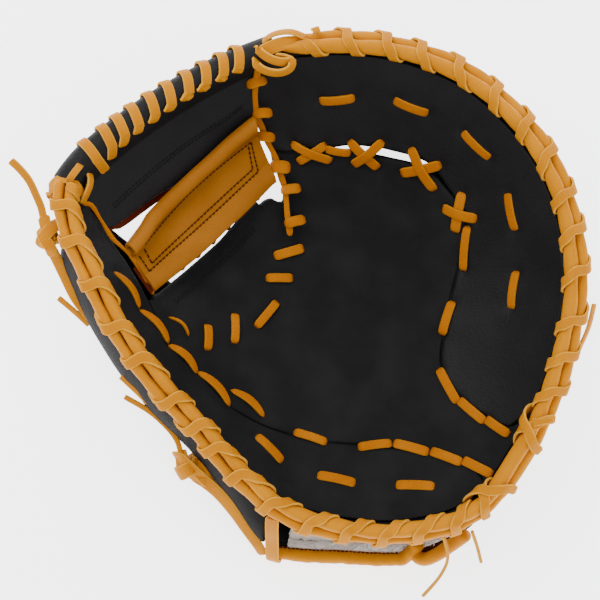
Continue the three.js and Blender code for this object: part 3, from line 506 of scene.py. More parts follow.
# Stitches on the palm and panels: start, end and width in plan, and 1 for the upper lace of a cross
fingerStitches = [
    [-14.3, 102.2, 4.3, 103.0, 5.4], [26.1, 101.2, 44.6, 94.1, 5.4], [63.5, 83.4, 78.2, 69.2, 5.2],
    [88.1, 50.8, 92.2, 31.5, 5.2], [93.0, 9.5, 90.5, -9.6, 5.0],
]
seamCrosses = [
    [-11.4, 82.0, -26.4, 74.3, 5.0, 0], [-29.7, 83.1, -8.0, 74.3, 5.0, 1],
    [2.4, 83.1, 18.1, 70.2, 5.4, 0], [20.1, 82.5, 4.2, 72.1, 5.4, 1], [30.8, 67.1, 51.9, 69.3, 5.8, 0],
    [36.0, 78.3, 49.0, 57.3, 5.8, 1], [64.1, 54.2, 60.8, 34.7, 5.8, 0],
    [54.1, 47.7, 71.9, 40.2, 5.8, 1],
]
seamStrands = [
    [-10.8, 80.1, 2.5, 77.9, 4.6], [67.2, 36.6, 65.2, 13.9, 4.8], [59.3, -3.2, 53.7, -20.7, 5.2],
    [51.9, -40.2, 61.5, -59.1, 5.2], [62.6, -58.0, 75.7, -70.5, 5.2], [76.8, -69.4, 88.0, -78.6, 5.2],
    [-28.0, -75.5, -10.9, -80.9, 4.8], [7.3, -83.6, 25.0, -81.4, 5.0], [26.7, -81.4, 45.3, -86.7, 5.4],
    [46.9, -86.1, 63.0, -92.8, 5.4], [64.1, -91.7, 78.7, -100.2, 5.4],
]
thumbStrands = [
    [-125.5, 7.1, -112.2, -11.0, 4.4], [-111.7, -12.6, -96.7, -29.1, 4.6],
    [-96.1, -30.8, -81.5, -44.8, 5.0], [-80.5, -44.6, -63.6, -62.2, 5.0],
    [-96.5, -14.5, -86.2, -23.8, 1.6], [-62.6, -53.5, -45.1, -67.2, 4.6],
]
thumbStitches = [
    [-48.8, -78.7, -35.1, -92.2, 5.0], [-15.4, -99.6, 4.9, -104.0, 5.4],
    [27.4, -105.1, 48.1, -105.9, 5.4],
]
palmStitches = [
    [-76.1, -17.1, -75.9, -30.9, 4.8], [-61.4, -9.8, -61.3, -25.9, 4.8],
    [-38.1, -1.8, -49.2, -16.1, 4.8], [-43.7, 11.8, -29.7, 12.2, 5.0], [-39.3, 24.2, -23.6, 29.0, 5.4],
]
everyStitch = [row[:5] for row in
               fingerStitches + seamCrosses + seamStrands + thumbStrands + thumbStitches + palmStitches]
holes = np.array([row[:2] for row in everyStitch] + [row[2:4] for row in everyStitch])
relief = {"dent": 1.1, "dentWide": 3.0, "broad": 0.25, "broadWide": 9.0, "wave": 0.55, "puff": 1.0}
waves = [(chance.normal(size=2) / 26, chance.uniform(0, 6.3), 1.0) for _ in range(6)]
waves += [(chance.normal(size=2) / 9, chance.uniform(0, 6.3), 0.35) for _ in range(8)]


# How far the leather stands off its plain surface: sine waves, less two bells at each hole.
def leatherRelief(plan):
    away = np.linalg.norm(plan[..., None, :] - holes, axis=-1)
    dent = np.exp(-((away / relief["dentWide"]) ** 2)).max(-1)
    broad = np.exp(-((away / relief["broadWide"]) ** 2)).max(-1)
    wave = sum(size * np.sin(plan @ pull + start) for pull, start, size in waves)
    return relief["wave"] * wave / 3 - relief["dent"] * dent - relief["broad"] * relief["dent"] * broad


# A wall on the pocket's surface, lifted by the relief and a puff.
def pocketWall(plan, fromRow, fromColumn, thickness, radius, puff=0.0):
    facing = pocketFacing(plan)
    lift = leatherRelief(plan) + puff
    return wall(onPocket(plan) + facing * lift[..., None], facing, fromRow, fromColumn, thickness, radius)


# The palm's edge at the web in plan, from the fingers' corner to the thumb, in shares of the reach
palmWebEdge = [
    [-0.263, 0.462], [-0.267, 0.412], [-0.288, 0.41], [-0.312, 0.421], [-0.344, 0.411], [-0.436, 0.327],
    [-0.481, 0.277], [-0.523, 0.229], [-0.604, 0.152], [-0.7, 0.057], [-0.788, -0.03], [-0.826, -0.043],
]
palmCornerEdge = [[-0.306, 0.558], [-0.281, 0.508], [-0.263, 0.462]]
seamEnd = [[-0.31, 0.605]]
palmSide = np.vstack([rimPlan(heels["finger"]), inPlan([*fingerSeam[:-1], *seamEnd, *palmCornerEdge])])
palmSideLine, palmSideReach = planLine(palmSide)
webEdgeLine = planLine(inPlan(palmWebEdge))[0]
palm = {
    "edge": 1.6, "rollWide": 5.4, "rollSunk": 2.1, "rollEnds": (0.2, 0.975), "easeFrom": 0.945,
    "room": 28.0, "roomOver": 0.06,
}


# Straight lines from the fingers' side to the thumb's, eased into the web edge's own curve at the end.
def palmGrid(stations, across):
    start = palmSideLine(stations)[:, None]
    end = thumbSeamLine(1 - stations)[:, None]
    straight = start + (end - start) * across[None, :, None]
    fingerEnd, thumbEnd = palmSideLine(np.ones(1)), thumbSeamLine(np.zeros(1))
    last = fingerEnd + (thumbEnd - fingerEnd) * across[:, None]
    ease = smoothStep(stations, palm["easeFrom"], 1)
    plan = straight + (webEdgeLine(across) - last)[None] * ease[:, None, None]
    # Rows before the last keep inside the edge, measured along and across the web's direction.
    alongWeb, acrossWeb = np.array([-0.8, -0.6]), np.array([-0.6, 0.8])
    edge = np.vstack([palmSideLine(np.linspace(0.8, 1, 30)), webEdgeLine(np.linspace(0.01, 1, 90))])
    edge = edge[np.argsort(edge @ alongWeb)]
    t, n = plan @ alongWeb, plan @ acrossWeb
    room = palm["room"] * (1 - stations)[:, None] * smoothStep(across, 0, palm["roomOver"])[None]
    limit = np.interp(t, edge @ alongWeb, edge @ acrossWeb) - room
    n = np.where(t > (edge @ alongWeb)[0], np.minimum(n, limit), n)
    return t[..., None] * alongWeb + n[..., None] * acrossWeb


stations, fromHeel = edgeShares(palmSideReach, palm["edge"], 200)
across, fromSeam = edgeShares(120, palm["edge"], 140)
palmPlan = palmGrid(stations, across)
rollPlan = webEdgeLine(np.linspace(*palm["rollEnds"], 90))
rollPath = onPocket(rollPlan) - pocketFacing(rollPlan) * palm["rollSunk"]
makePiece("palm", [
    pocketWall(palmPlan, fromHeel, fromSeam, walls["palm"], palm["edge"]),
    sweep(rollPath, (0, 0, 1.0), palm["rollWide"], palm["rollWide"] * 0.8, roundShape(20)),
], looks["palmBlack"], ["palm_panel"])


# Short stitches of thread along a path: each rises off the leather as half a sine wave.
def sewn(path, facing, pitch, wide, share=0.72, dip=0.25):
    lengths = np.concatenate([[0], np.cumsum(np.linalg.norm(np.diff(path, axis=0), axis=1))])
    many = int(lengths[-1] / pitch)
    rows = []
    for k in range(many):
        at = (k + np.linspace(0.5 - share / 2, 0.5 + share / 2, 6)) * lengths[-1] / many
        over = smoothLine(lengths, facing, at)
        hump = wide * (0.9 * np.sin(np.pi * np.linspace(0, 1, 6)) - dip)
        raised = smoothLine(lengths, path, at) + over * hump[:, None]
        rows.append(sweep(raised, over, wide, wide * 0.8, roundShape(6)))
    return rows


palmSewing = {"insets": (6.0, 7.6), "ends": (0.3, 0.9), "pitch": 2.6, "wide": 0.55}
quiet = []
for inset in palmSewing["insets"]:
    plan = webEdgeLine(np.linspace(*palmSewing["ends"], 90))
    heading = unit(np.gradient(plan, axis=0))
    plan = plan + np.stack([-heading[:, 1], heading[:, 0]], -1) * inset
    facing = pocketFacing(plan)
    raised = onPocket(plan) + facing * leatherRelief(plan)[:, None]
    quiet += sewn(raised, facing, palmSewing["pitch"], palmSewing["wide"])
makePiece("palmThread", quiet, looks["darkThread"])


# A panel between its seam and the rim: places step out to the rim by one less (1 - v) to the power
# 1.4, closer together near it, and swell sideways as a sine towards the panel's end.
def panelGrid(inner, outer, shares, across, opening, bulge):
    u, v = shares[:, None], across[None, :, None]
    heading = unit(inner(np.minimum(shares + 0.005, 1)) - inner(np.maximum(shares - 0.005, 0)))
    start = inner(shares) + np.stack([heading[:, 1], -heading[:, 0]], -1) * opening(shares)[:, None]
    end = outer(shares)
    step = unit(end - start)
    sideways = np.stack([-step[:, 1], step[:, 0]], -1)[:, None]
    plan = start[:, None] + (end - start)[:, None] * (1 - (1 - v) ** 1.4)
    return plan + sideways * (bulge * u[..., None] ** 6 * np.sin(np.pi * v))


slit = {"gap": 0.35, "wide": 3.9, "start": 0.56, "end": 0.887, "bulge": 6.0, "skew": 1.3}
panels = {"edge": 1.8, "puffPower": 0.4}
trim, trimDeg = heels["trim"], heels["trimDeg"]


# The slit's opening: a sine over a skewed share of the seam.
def slitOpen(u):
    share = np.clip((u - slit["start"]) / (slit["end"] - slit["start"]), 0, 1) ** slit["skew"]
    return slit["gap"] + (slit["wide"] - slit["gap"]) * np.sin(np.pi * share)


def seamClosed(u):
    return slit["gap"] + 0 * u


def fingerInner(u):
    return fingerSeamLine(trim + (1 - trim) * u)


def fingerOuter(u):
    return rimPlan(heels["finger"] + trimDeg + (webEnds["finger"] - heels["finger"] - trimDeg) * u)


def thumbInner(u):
    return thumbEdgeLine((1 - trim) * u)


def thumbOuter(u):
    return rimPlan(webEnds["thumb"] + (heels["thumb"] - trimDeg - webEnds["thumb"]) * u)


for name, inner, outer, opening, bulge, length, look in (
    ("finger", fingerInner, fingerOuter, slitOpen, slit["bulge"], fingerSeamReach, "black"),
    ("thumb", thumbInner, thumbOuter, seamClosed, 0.0, thumbEdgeReach, "palmBlack"),
):
    shares, fromEnd = edgeShares(length, panels["edge"], 200)
    across, fromSide = edgeShares(45, panels["edge"], 56)
    plan = panelGrid(inner, outer, shares, across, opening, bulge)
    puff = relief["puff"] * np.sin(np.pi * np.clip(across, 0, 1))[None, :]
    puff = puff * np.sin(np.pi * shares)[:, None] ** panels["puffPower"]
    skin = pocketWall(plan, fromEnd, fromSide, walls["panel"], panels["edge"], puff)
    makePiece(name, [skin], looks[look], [name + "_panel"])

# Back shells: out under the rim, rolled under and flat on the floor, closed against the web's panels
back = {
    "closed": 1.0, "pull": 0.5, "bulgePull": 1.6, "dip": 14.0, "endDip": 3.0, "shy": 0.985,
    "fingerTurn": 20.0, "thumbTurn": 14.0, "fingerFollow": 0.0, "thumbFollow": 5.0,
    "ridge": 1.6, "ridgeWide": 2.2, "edge": 1.2,
}


# Each section of a shell is a cubic from behind the rim, out, under and in along the floor. Near the
# closed end it eases into a layer behind the panel, so that the end shuts.
def backGrid(degs, shares, side):
    reach, _, _, bulge, tuck, sole = section(degs)
    point, _, off, _ = rimFrame(degs)
    behind = walls["panel"] + walls["gap"] + walls["back"]
    away = np.stack([np.cos(np.radians(degs)), np.sin(np.radians(degs)), 0 * degs], -1)
    upward = np.array([0, 0, 1.0])
    start = point - off * behind
    swell = start + away * (back["bulgePull"] * bulge)[:, None]
    swell[:, 2] = (1 - back["pull"]) * start[:, 2]
    tucked = away * (tuck * reach + bulge)[:, None] - upward * back["dip"]
    ended = away * (sole * reach)[:, None] - upward * back["endDip"]
    corners = [c[:, None] for c in (start, swell, tucked, ended)]
    s = shares[None, :, None]
    free = cubic(corners, s)
    free[..., 2] = np.maximum(free[..., 2], 0)
    turn = back[side + "Turn"]
    closing = smoothStep(turn - np.abs(degs - webEnds[side]), 0, turn)[:, None, None]
    share = (back["shy"] + (sole[:, None] - back["shy"]) * shares) * reach[:, None]
    # The thumb's closed end follows the slanting edge of its panel.
    follow = np.radians(degs[:, None] + back[side + "Follow"] * shares * closing[..., 0])
    inFront = np.stack([np.cos(follow), np.sin(follow)], -1) * share[..., None]
    facing = pocketFacing(inFront)
    facing = facing + (off[:, None] - facing) * (1 - smoothStep(shares, 0, 0.08))[None, :, None]
    shut = onPocket(inFront) - unit(facing) * (behind + back["closed"] * closing)
    return free + (shut - free) * closing


for side, first, last, ridges in (
    ("finger", wrists["finger"] - 360, webEnds["finger"], (-12, 22, 52, 80)),
    ("thumb", webEnds["thumb"], wrists["thumb"], (205,)),
):
    shares, fromEnd = edgeShares(abs(last - first) * 2.0, back["edge"], 170)
    down, fromRim = edgeShares(130, back["edge"], 90)
    degs = first + (last - first) * shares
    points = backGrid(degs, down, side)
    normals = gridNormals(points, points - np.array([0, 0, 60.0]))
    groove = sum(np.exp(-(((degs - at) / back["ridgeWide"]) ** 2)) for at in ridges)
    groove = groove[:, None] * np.sin(np.pi * down)[None] ** 0.6
    ripple = 0.5 * np.sin(degs * 0.31 + 1.3)[:, None] * np.sin(down * 9 + degs[:, None] * 0.05)
    soft = smoothStep(points[..., 2], 0.5, 12)
    points = points - normals * ((back["ridge"] * groove + ripple * 0.6 + 0.2) * soft)[..., None]
    makePiece(side + "Back", [wall(points, normals, fromEnd, fromRim, walls["back"], back["edge"])],
              looks["palmBlack"], [side + "_back"])

# Rim wraps from heel to web: length along the rim, and how far the outer end lies past the inner end
fingerWraps = [
    [289.0, -12.1], [269.2, -9.9], [249.7, -8.5], [225.6, -9.9], [204.6, -8.8], [184.7, -6.3],
    [164.3, -9.9], [143.8, -6.3], [122.9, -9.0], [101.6, -10.8], [80.6, -8.8], [62.3, -8.1],
    [42.1, -7.4], [21.8, -9.4],
]
thumbWraps = [
    [366.2, 11.5], [383.6, 14.4], [402.4, 12.4], [421.2, 13.0], [441.0, 13.5], [462.4, 15.1],
    [482.4, 21.4], [503.2, 19.3], [522.8, 12.1], [542.9, 10.6], [566.6, 18.9], [587.3, 16.2],
    [612.7, 14.4], [634.8, 19.1], [655.7, 13.3], [668.5, 4.0],
]
wraps = {
    "halfOut": 5.05, "halfUp": 7.25, "square": 3.2, "fingerWide": 5.5, "thumbWide": 5.9,
    "thick": 1.6, "steps": 16, "sway": 0.06, "heelPlaces": [305.0, 350.0],
}
wrapPlaces = np.array([row[0] for row in fingerWraps + thumbWraps] + wraps["heelPlaces"])


# Round both bands at an angle from the inner side, over the palm side: a squared oval.
def aroundBands(length, angle, grow=0.0):
    a, b, power = wraps["halfOut"] + grow, wraps["halfUp"] + grow, 2 / wraps["square"]
    c, s = -np.cos(angle), np.sin(angle)
    out = a * np.sign(c) * np.abs(c) ** power
    up = b * np.sign(s) * np.abs(s) ** power
    steep = wraps["square"] - 1
    outward = np.sign(c) * np.abs(out / a) ** steep / a
    upward = np.sign(s) * np.abs(up / b) ** steep / b
    return rimSpace(length, out, up), rimDirection(length, outward, upward)


# One lace wound round both bands: half a turn over them at each row and half a turn behind to the next.
def woundLace(rows, wide):
    lengths, angles = [], []
    for k, (at, lean) in enumerate(rows):
        turn = np.linspace(0, np.pi, wraps["steps"], endpoint=False)
        lengths.append(at - lean * np.cos(turn) / 2)
        angles.append(turn)
        if k + 1 < len(rows):
            start, end = at + lean / 2, rows[k + 1][0] - rows[k + 1][1] / 2
            lengths.append(start + (end - start) * (1 - np.cos(turn)) / 2)
            angles.append(np.pi + turn)
    path, facing = aroundBands(np.concatenate(lengths), np.concatenate(angles))
    sway = 1 + wraps["sway"] * np.sin(np.arange(len(path)) * 0.7)
    return lacing(path, facing, wide * sway, wraps["thick"], 0.01)


bands = {
    "taper": 17.0, "round": 4.5, "pinch": 0.13, "pinchWide": 4.5, "full": 0.03, "square": 0.86, "sides": 28,
}


# The two rolled bands, drawn in by a bell under each wrap and full between them. They taper at the
# finger's end and are round at the thumb's.
def band(side):
    lengths = np.concatenate([np.linspace(0, 12, 24), np.linspace(13, rimLength - 5, 640),
                              rimLength - bands["round"] * (1 - np.linspace(0, 1, 12)) ** 1.5])
    nearest = np.abs(lengths[:, None] - wrapPlaces - side * 2).min(1)
    pinch = 1 - bands["pinch"] * np.exp(-((nearest / bands["pinchWide"]) ** 2))
    pinch = pinch + bands["full"] * smoothStep(nearest, 5, 10)
    taper = np.clip(lengths / bands["taper"], 0.02, 1) ** 0.75
    rounded = np.sqrt(1 - (1 - np.clip((rimLength - lengths) / bands["round"], 0.02, 1)) ** 2)
    ends = np.minimum(taper, rounded)
    up = side * rim["off"] * (0.8 + 0.2 * ends)
    path = rimSpace(lengths, 0.35 * side * np.sin(lengths * 0.11), up)
    shape = roundShape(bands["sides"])
    shape = np.sign(shape) * 0.5 * np.abs(shape * 2) ** bands["square"]
    return sweep(path, rimDirection(lengths, 0 * lengths, 1 + 0 * lengths), rim["bandWide"] * pinch * ends,
                 (rim["bandDeep"] + 0.25) * pinch * ends, shape)


for name, side in (("Palm", 1), ("Back", -1)):
    points, quads, cut = band(side)
    node = "rim_band_" + name.lower()
    makePiece("band" + name, [(points, quads, 0 * cut)], looks["tan"], [node])

# Short laces tied over the bands at the heel: places along each by rim length and angle round the bands
heelTies = [
    [[320, -6], [314, 25], [308, 85], [301, 150], [297, 192]],
    [[297, -4], [303, 60], [309, 120], [316, 188]],
    [[344, -4], [349, 60], [354, 120], [358, 188]],
    [[361, 2], [353, 60], [346, 120], [340, 188]],
]
tieSpec = {"wide": 5.6, "thick": 1.6, "off": 1.0, "over": 1.4, "tailWide": 4.8, "tailThick": 1.5}
ties = []
for k, rows in enumerate(heelTies):
    row = smoothPath(rows, 40)
    path, facing = aroundBands(row[:, 0], np.radians(row[:, 1]), tieSpec["off"] + tieSpec["over"] * (k % 2))
    ties.append(lacing(path, facing, tieSpec["wide"], tieSpec["thick"], 0.04))
tieTail = rimSpace(np.linspace(303, 296, 14), np.linspace(3, 13.5, 14), 8.2 - np.linspace(0, 1.7, 14) ** 2)
ties.append(lacing(tieTail, rimDirection(300.0, 0.3, 1.0), tieSpec["tailWide"] * np.linspace(1, 0.5, 14),
                   tieSpec["tailThick"], 0.05))
makePiece("rimLaceFinger", [woundLace(fingerWraps, wraps["fingerWide"]), *ties[:2], ties[4]], looks["lace"],
          ["rim_lace_finger"])
makePiece("rimLaceThumb", [woundLace(thumbWraps, wraps["thumbWide"]), *ties[2:4]], looks["lace"],
          ["rim_lace_thumb"])

stitchSpec = {"sunk": 1.4, "rise": 2.5, "thick": 1.7, "crossOver": 1.6, "thumbBow": 1.4}


# A stitch on the leather: out of one hole, over as a sine to a small power and into the next. It may
# bow sideways as a sine, and a lens narrows towards its ends.
def stitch(row, over=0.0, flat=0.35, bowed=0.0):
    x0, y0, x1, y1, wide = row[:5]
    share = np.linspace(0, 1, 22)
    plan = np.stack([x0 + (x1 - x0) * share, y0 + (y1 - y0) * share], -1)
    bow = np.array([-(y1 - y0), x1 - x0]) / np.hypot(x1 - x0, y1 - y0) * bowed
    plan = plan + np.sin(np.pi * share)[:, None] * bow
    facing = pocketFacing(plan)
    hump = np.sin(np.pi * share)
    lift = -stitchSpec["sunk"] + stitchSpec["rise"] * hump**flat + over * hump**2
    wide = wide * (hump**0.45 * 0.75 + 0.25 if bowed else 1)
    return lacing(onPocket(plan) + facing * lift[:, None], facing, wide, stitchSpec["thick"], 0.1)


makePiece("stitches", [
    *[stitch(row) for row in fingerStitches + thumbStitches + palmStitches],
    *[stitch(row, stitchSpec["crossOver"] * row[5], 0.3) for row in seamCrosses],
    *[stitch(row) for row in seamStrands],
    *[stitch(row, 0.3, 0.5, stitchSpec["thumbBow"]) for row in thumbStrands],
], looks["stitch"])
print("pocket, shells and rim done")

# The web panel's end and the crossbar's two edges and stitch lines: share across, share down the web
panelEndRows = np.array([
    [0, 0.452], [0.045, 0.475], [0.233, 0.498], [0.355, 0.513], [0.43, 0.53], [0.6, 0.56], [1, 0.575],
])
barTopRows = np.array([
    [0, 0.592], [0.125, 0.577], [0.2, 0.561], [0.41, 0.556], [0.55, 0.553], [0.7, 0.548], [0.86, 0.535],
    [1, 0.525],
])
barEndRows = np.array([
    [0, 0.925], [0.185, 0.95], [0.37, 0.958], [0.53, 0.948], [0.62, 0.938], [0.75, 0.93], [1, 0.892],
])
barUpperThread = np.array([[0, 0.642], [0.5, 0.607], [1, 0.62]])
barLowerThread = np.array([[0, 0.777], [0.5, 0.789], [1, 0.768]])


def byAcross(rows, across):
    return smoothLine(rows[:, 0], rows[:, 1], across)


# Web leather: one sheet from its lower edge up the front, over the rolled bar and down behind it
webSpec = {
    "lift": 1.2, "edge": 1.1, "turn": 1.0, "rollEnds": (-0.05, 1.03), "panelEnds": (-0.045, 1.055),
    "flareFrom": 0.14, "flareTo": 0.26, "foot": 1.6, "droop": (-1.0, -4.5, -3.0), "droopFrom": 0.1,
    "droopOver": 0.15,
}
webAcross, webFromSide = edgeShares(110, webSpec["edge"], 110)
depth = webDepth(webAcross)
lower = byAcross(panelEndRows, webAcross)
frontDowns = blend(lower[:, None] * depth[:, None], web["rollReach"], np.linspace(0, 1, 46)[None, :])
rollAcross, panelAcross = blend(*webSpec["rollEnds"], webAcross), blend(*webSpec["panelEnds"], webAcross)
nearRoll = 1 - smoothStep(frontDowns / depth[:, None], webSpec["flareFrom"], webSpec["flareTo"])
flatAcross = panelAcross[:, None] + (rollAcross - panelAcross)[:, None] * nearRoll
flat = onWeb(flatAcross, frontDowns / depth[:, None], webSpec["lift"] + 0 * frontDowns)


# How far the bar hangs at the thumb's end: the square of the share left to it.
def barDroop(across):
    share = np.clip((webSpec["droopFrom"] - across) / webSpec["droopOver"], 0, 1) ** 2
    return share[..., None] * np.array(webSpec["droop"])


origin, downward, face = webFrame(rollAcross, 0 * webAcross)
origin = origin + barDroop(rollAcross)
flat = flat + nearRoll[..., None] * barDroop(rollAcross)[:, None]
reach, radius, foot = web["rollReach"], web["rollRadius"], webSpec["foot"]


# The rolled bar's rise off the web a share of the way up it: a sine to the power 1.3.
def barRamp(share):
    return foot + (radius - foot) * np.sin(share * np.pi / 2) ** 1.3


# Around the rolled bar in its own plane: millimetres down the web and out of its face
def barPlane(down, lift):
    return origin[:, None] + downward[:, None] * down[None, :, None] + face[:, None] * lift[None, :, None]


climb = np.linspace(0, 1, 14)[1:-1]
frontCurve = (reach * (1 - climb), barRamp(climb))
turnOver = np.linspace(0, np.pi, 34)
overTop = (-radius * np.sin(turnOver), radius * np.cos(turnOver))
behind = (reach * climb, -(foot + (radius - foot) * np.cos(climb * np.pi / 2) ** 1.3))
bar = barPlane(*(np.concatenate(parts) for parts in zip(frontCurve, overTop, behind)))
webPoints = np.concatenate([flat, bar], axis=1)
towards = np.concatenate([
    np.repeat(face[:, None], flat.shape[1] + len(climb), 1),
    np.repeat(-downward[:, None], len(turnOver), 1),
    np.repeat(-face[:, None], len(climb), 1),
], axis=1)
webNormals = gridNormals(webPoints, towards)
lengthDown = np.concatenate([[0], np.cumsum(np.linalg.norm(np.diff(webPoints[40], axis=0), axis=1))])
fromEdge = np.minimum(lengthDown, lengthDown[-1] - lengthDown)
makePiece("web", [wall(webPoints, webNormals, webFromSide, fromEdge, walls["web"], webSpec["turn"])],
          looks["black"], ["web_panel", "web_roll"])

# Linings a little behind the leather and showing below it, with a ragged lower edge under the crossbar
liningSpec = {"ends": (-0.04, 0.99), "thick": 1.4, "edge": 0.7, "turn": 0.6, "rough": 0.016}
for name, starts, ends, lift, stands in (
    ("webLining", lambda a: 0.2 + 0 * a, lambda a: byAcross(panelEndRows, a) + 0.036, -1.7, "web_lining"),
    ("barLining", lambda a: byAcross(barTopRows, a) + 0.11, lambda a: byAcross(barEndRows, a) - 0.004, 1.1,
     "crossbar_lining"),
):
    across, fromSide = edgeShares(100, liningSpec["edge"], 70)
    across = blend(*liningSpec["ends"], across)
    shares, fromEnd = edgeShares(25, liningSpec["edge"], 30)
    rough = liningSpec["rough"] * np.sin(across * 23) * np.sin(across * 71 + 1) * (name == "barLining")
    downs = blend(starts(across)[:, None], (ends(across) + rough)[:, None], shares[None, :])
    places = np.broadcast_to(across[:, None], downs.shape)
    points = onWeb(places, downs, lift + 0 * downs)
    normals = gridNormals(points, webFrame(places, downs)[2])
    sheet = wall(points, normals, fromSide, fromEnd, liningSpec["thick"], liningSpec["turn"])
    makePiece(name, [sheet], looks["suede"], [stands])

# The lace round the bar: share across on top of it and at its lower tip, and millimetres to that tip
barWraps = [
    [0.105, 0.126, 10.7], [0.205, 0.177, 6.2], [0.28, 0.2475, 3.8], [0.357, 0.334, 2.6],
    [0.447, 0.418, 2.1], [0.536, 0.502, 1.2], [0.63, 0.586, 0.2], [0.718, 0.6725, 0.1],
    [0.802, 0.7726, 0.1], [0.875, 0.862, 0.0],
]
barLace = {"wide": 5.7, "thick": 1.5, "off": 0.9}
turns = []
for k, (top, tip, down) in enumerate(barWraps):
    a = radius + barLace["off"]
    fall = np.linspace(down + 2.0, 0, 7)[:-1]
    rampLift = barRamp(1 - fall / reach) + barLace["off"]
    over = np.linspace(0, np.pi, 12)
    downs = np.concatenate([fall, -a * np.sin(over), [4.6, 10.8]])
    lifts = np.concatenate([rampLift - np.array([0.6, 0.2, 0, 0, 0, 0]), a * np.cos(over), [-7.4, -3.6]])
    after = barWraps[k + 1][1] if k + 1 < len(barWraps) else tip + 0.05
    shares = np.concatenate([np.linspace(0, 0.8, 6), np.linspace(0.8, 1, 5)])
    crosses = np.concatenate([
        blend(tip, top, shares), top + np.zeros(7), blend(top, after, np.array([0.5, 0.9])),
    ])
    o, dn, fc = webFrame(crosses, 0 * crosses)
    o = o + barDroop(crosses)
    steps = np.stack([np.gradient(downs), np.gradient(lifts)], -1)
    out = unit(dn * steps[:, 1:2] - fc * steps[:, :1])
    fine = np.linspace(0, len(crosses) - 1, len(crosses) * 3)
    places = np.arange(len(crosses))
    path = smoothLine(places, o + dn * downs[:, None] + fc * lifts[:, None], fine)
    turns.append(lacing(path, unit(smoothLine(places, out, fine)), barLace["wide"], barLace["thick"], 0.01))
makePiece("barLace", turns, looks["lace"], ["web_bar_lace"])

# Crossbar: a loose flap, a stitched flat part and a rolled upper edge, from the lower edge up
barSpec = {
    "lift": webSpec["lift"] + walls["gap"] + walls["web"],
    "roll": 4.9, "thick": 2.3, "puff": 1.5, "pad": 0.7,
    "ends": (-0.02, 1.04), "edge": 1.0, "turn": 0.9, "rollTo": 1.42 * np.pi, "tighten": 0.2,
}
across, fromSide = edgeShares(108, barSpec["edge"], 90)
across = blend(*barSpec["ends"], across)
top, bottom = byAcross(barTopRows, across), byAcross(barEndRows, across)
upper, lowerLine = byAcross(barUpperThread, across), byAcross(barLowerThread, across)


# Lift of the crossbar's leather by its place between the lower edge, the two stitch lines and the roll
def barLift(down, bottom, lowerLine, upper):
    flap = np.clip((bottom - down) / (bottom - lowerLine), 0, 1)
    pad = np.clip((lowerLine - down) / (lowerLine - upper), 0, 1)
    puff = barSpec["puff"] * np.sin(np.pi * flap) ** 0.8
    return barSpec["lift"] + puff + barSpec["pad"] * np.sin(np.pi * pad) ** 0.5


shares = np.linspace(0, 1, 26)
downs = np.concatenate([blend(bottom[:, None], lowerLine[:, None], shares[None, :-1]),
                        blend(lowerLine[:, None], upper[:, None], shares[None, :])], axis=1)
raised = barLift(downs, bottom[:, None], lowerLine[:, None], upper[:, None])
sheet = onWeb(across[:, None] + 0 * downs, downs, raised)
o, dn, fc = webFrame(across, top)
o = o + fc * (barSpec["lift"] - walls["web"] + barSpec["roll"])
turn = np.linspace(-0.5, barSpec["rollTo"], 46)
spiral = barSpec["roll"] * (1 - barSpec["tighten"] * smoothStep(turn, np.pi * 0.8, barSpec["rollTo"]))
curl = o[:, None] + dn[:, None] * (-spiral * np.sin(turn))[None, :, None]
curl = curl + fc[:, None] * (spiral * np.cos(turn))[None, :, None]
t = np.linspace(0, 1, 10)[1:-1][None, :, None]
middle = sheet[:, -1:] + (curl[:, :1] - sheet[:, -1:]) * 0.5 - fc[:, None] * 0.3
bridge = (1 - t) ** 2 * sheet[:, -1:] + 2 * (1 - t) * t * middle + t * t * curl[:, :1]
points = np.concatenate([sheet, bridge, curl], axis=1)
flatCount = sheet.shape[1] + bridge.shape[1]
outward = fc[:, None] * np.cos(turn)[None, :, None] - dn[:, None] * np.sin(turn)[None, :, None]
towards = np.concatenate([np.repeat(fc[:, None], flatCount, 1), outward], axis=1)
normals = gridNormals(points, towards)
lengthDown = np.concatenate([[0], np.cumsum(np.linalg.norm(np.diff(points[40], axis=0), axis=1))])
fromEdge = np.minimum(lengthDown, lengthDown[-1] - lengthDown)
makePiece("crossbar", [wall(points, normals, fromSide, fromEdge, barSpec["thick"], barSpec["turn"])],
          looks["barTan"], ["web_crossbar"])

# Thread in double rows round the crossbar's flat part, corner to corner: across and inset of each line
threadCorners = [
    [[0.085, 0.0], [0.985, 0.0]], [[0.02, 1.0], [0.95, 1.0]], [[0.06, 0.8], [0.925, 0.8]],
    [[0.02, 1.0], [0.018, 0.12]], [[0.06, 0.8], [0.07, 0.08]],
    [[0.95, 1.0], [0.985, 0.0]], [[0.925, 0.8], [0.96, 0.06]],
]
barSewing = {"lift": 0.2, "pitch": 2.5, "wide": 0.75}
dashes = []
for (a0, s0), (a1, s1) in threadCorners:
    a, s = np.linspace(a0, a1, 90), np.linspace(s0, s1, 90)
    high, low = byAcross(barUpperThread, a), byAcross(barLowerThread, a)
    down = blend(high, low, s)
    raised = barLift(down, byAcross(barEndRows, a), low, high) + barSewing["lift"]
    dashes += sewn(onWeb(a, down, raised), webFrame(a, down)[2], barSewing["pitch"], barSewing["wide"])
makePiece("crossbarThread", dashes, looks["thread"])

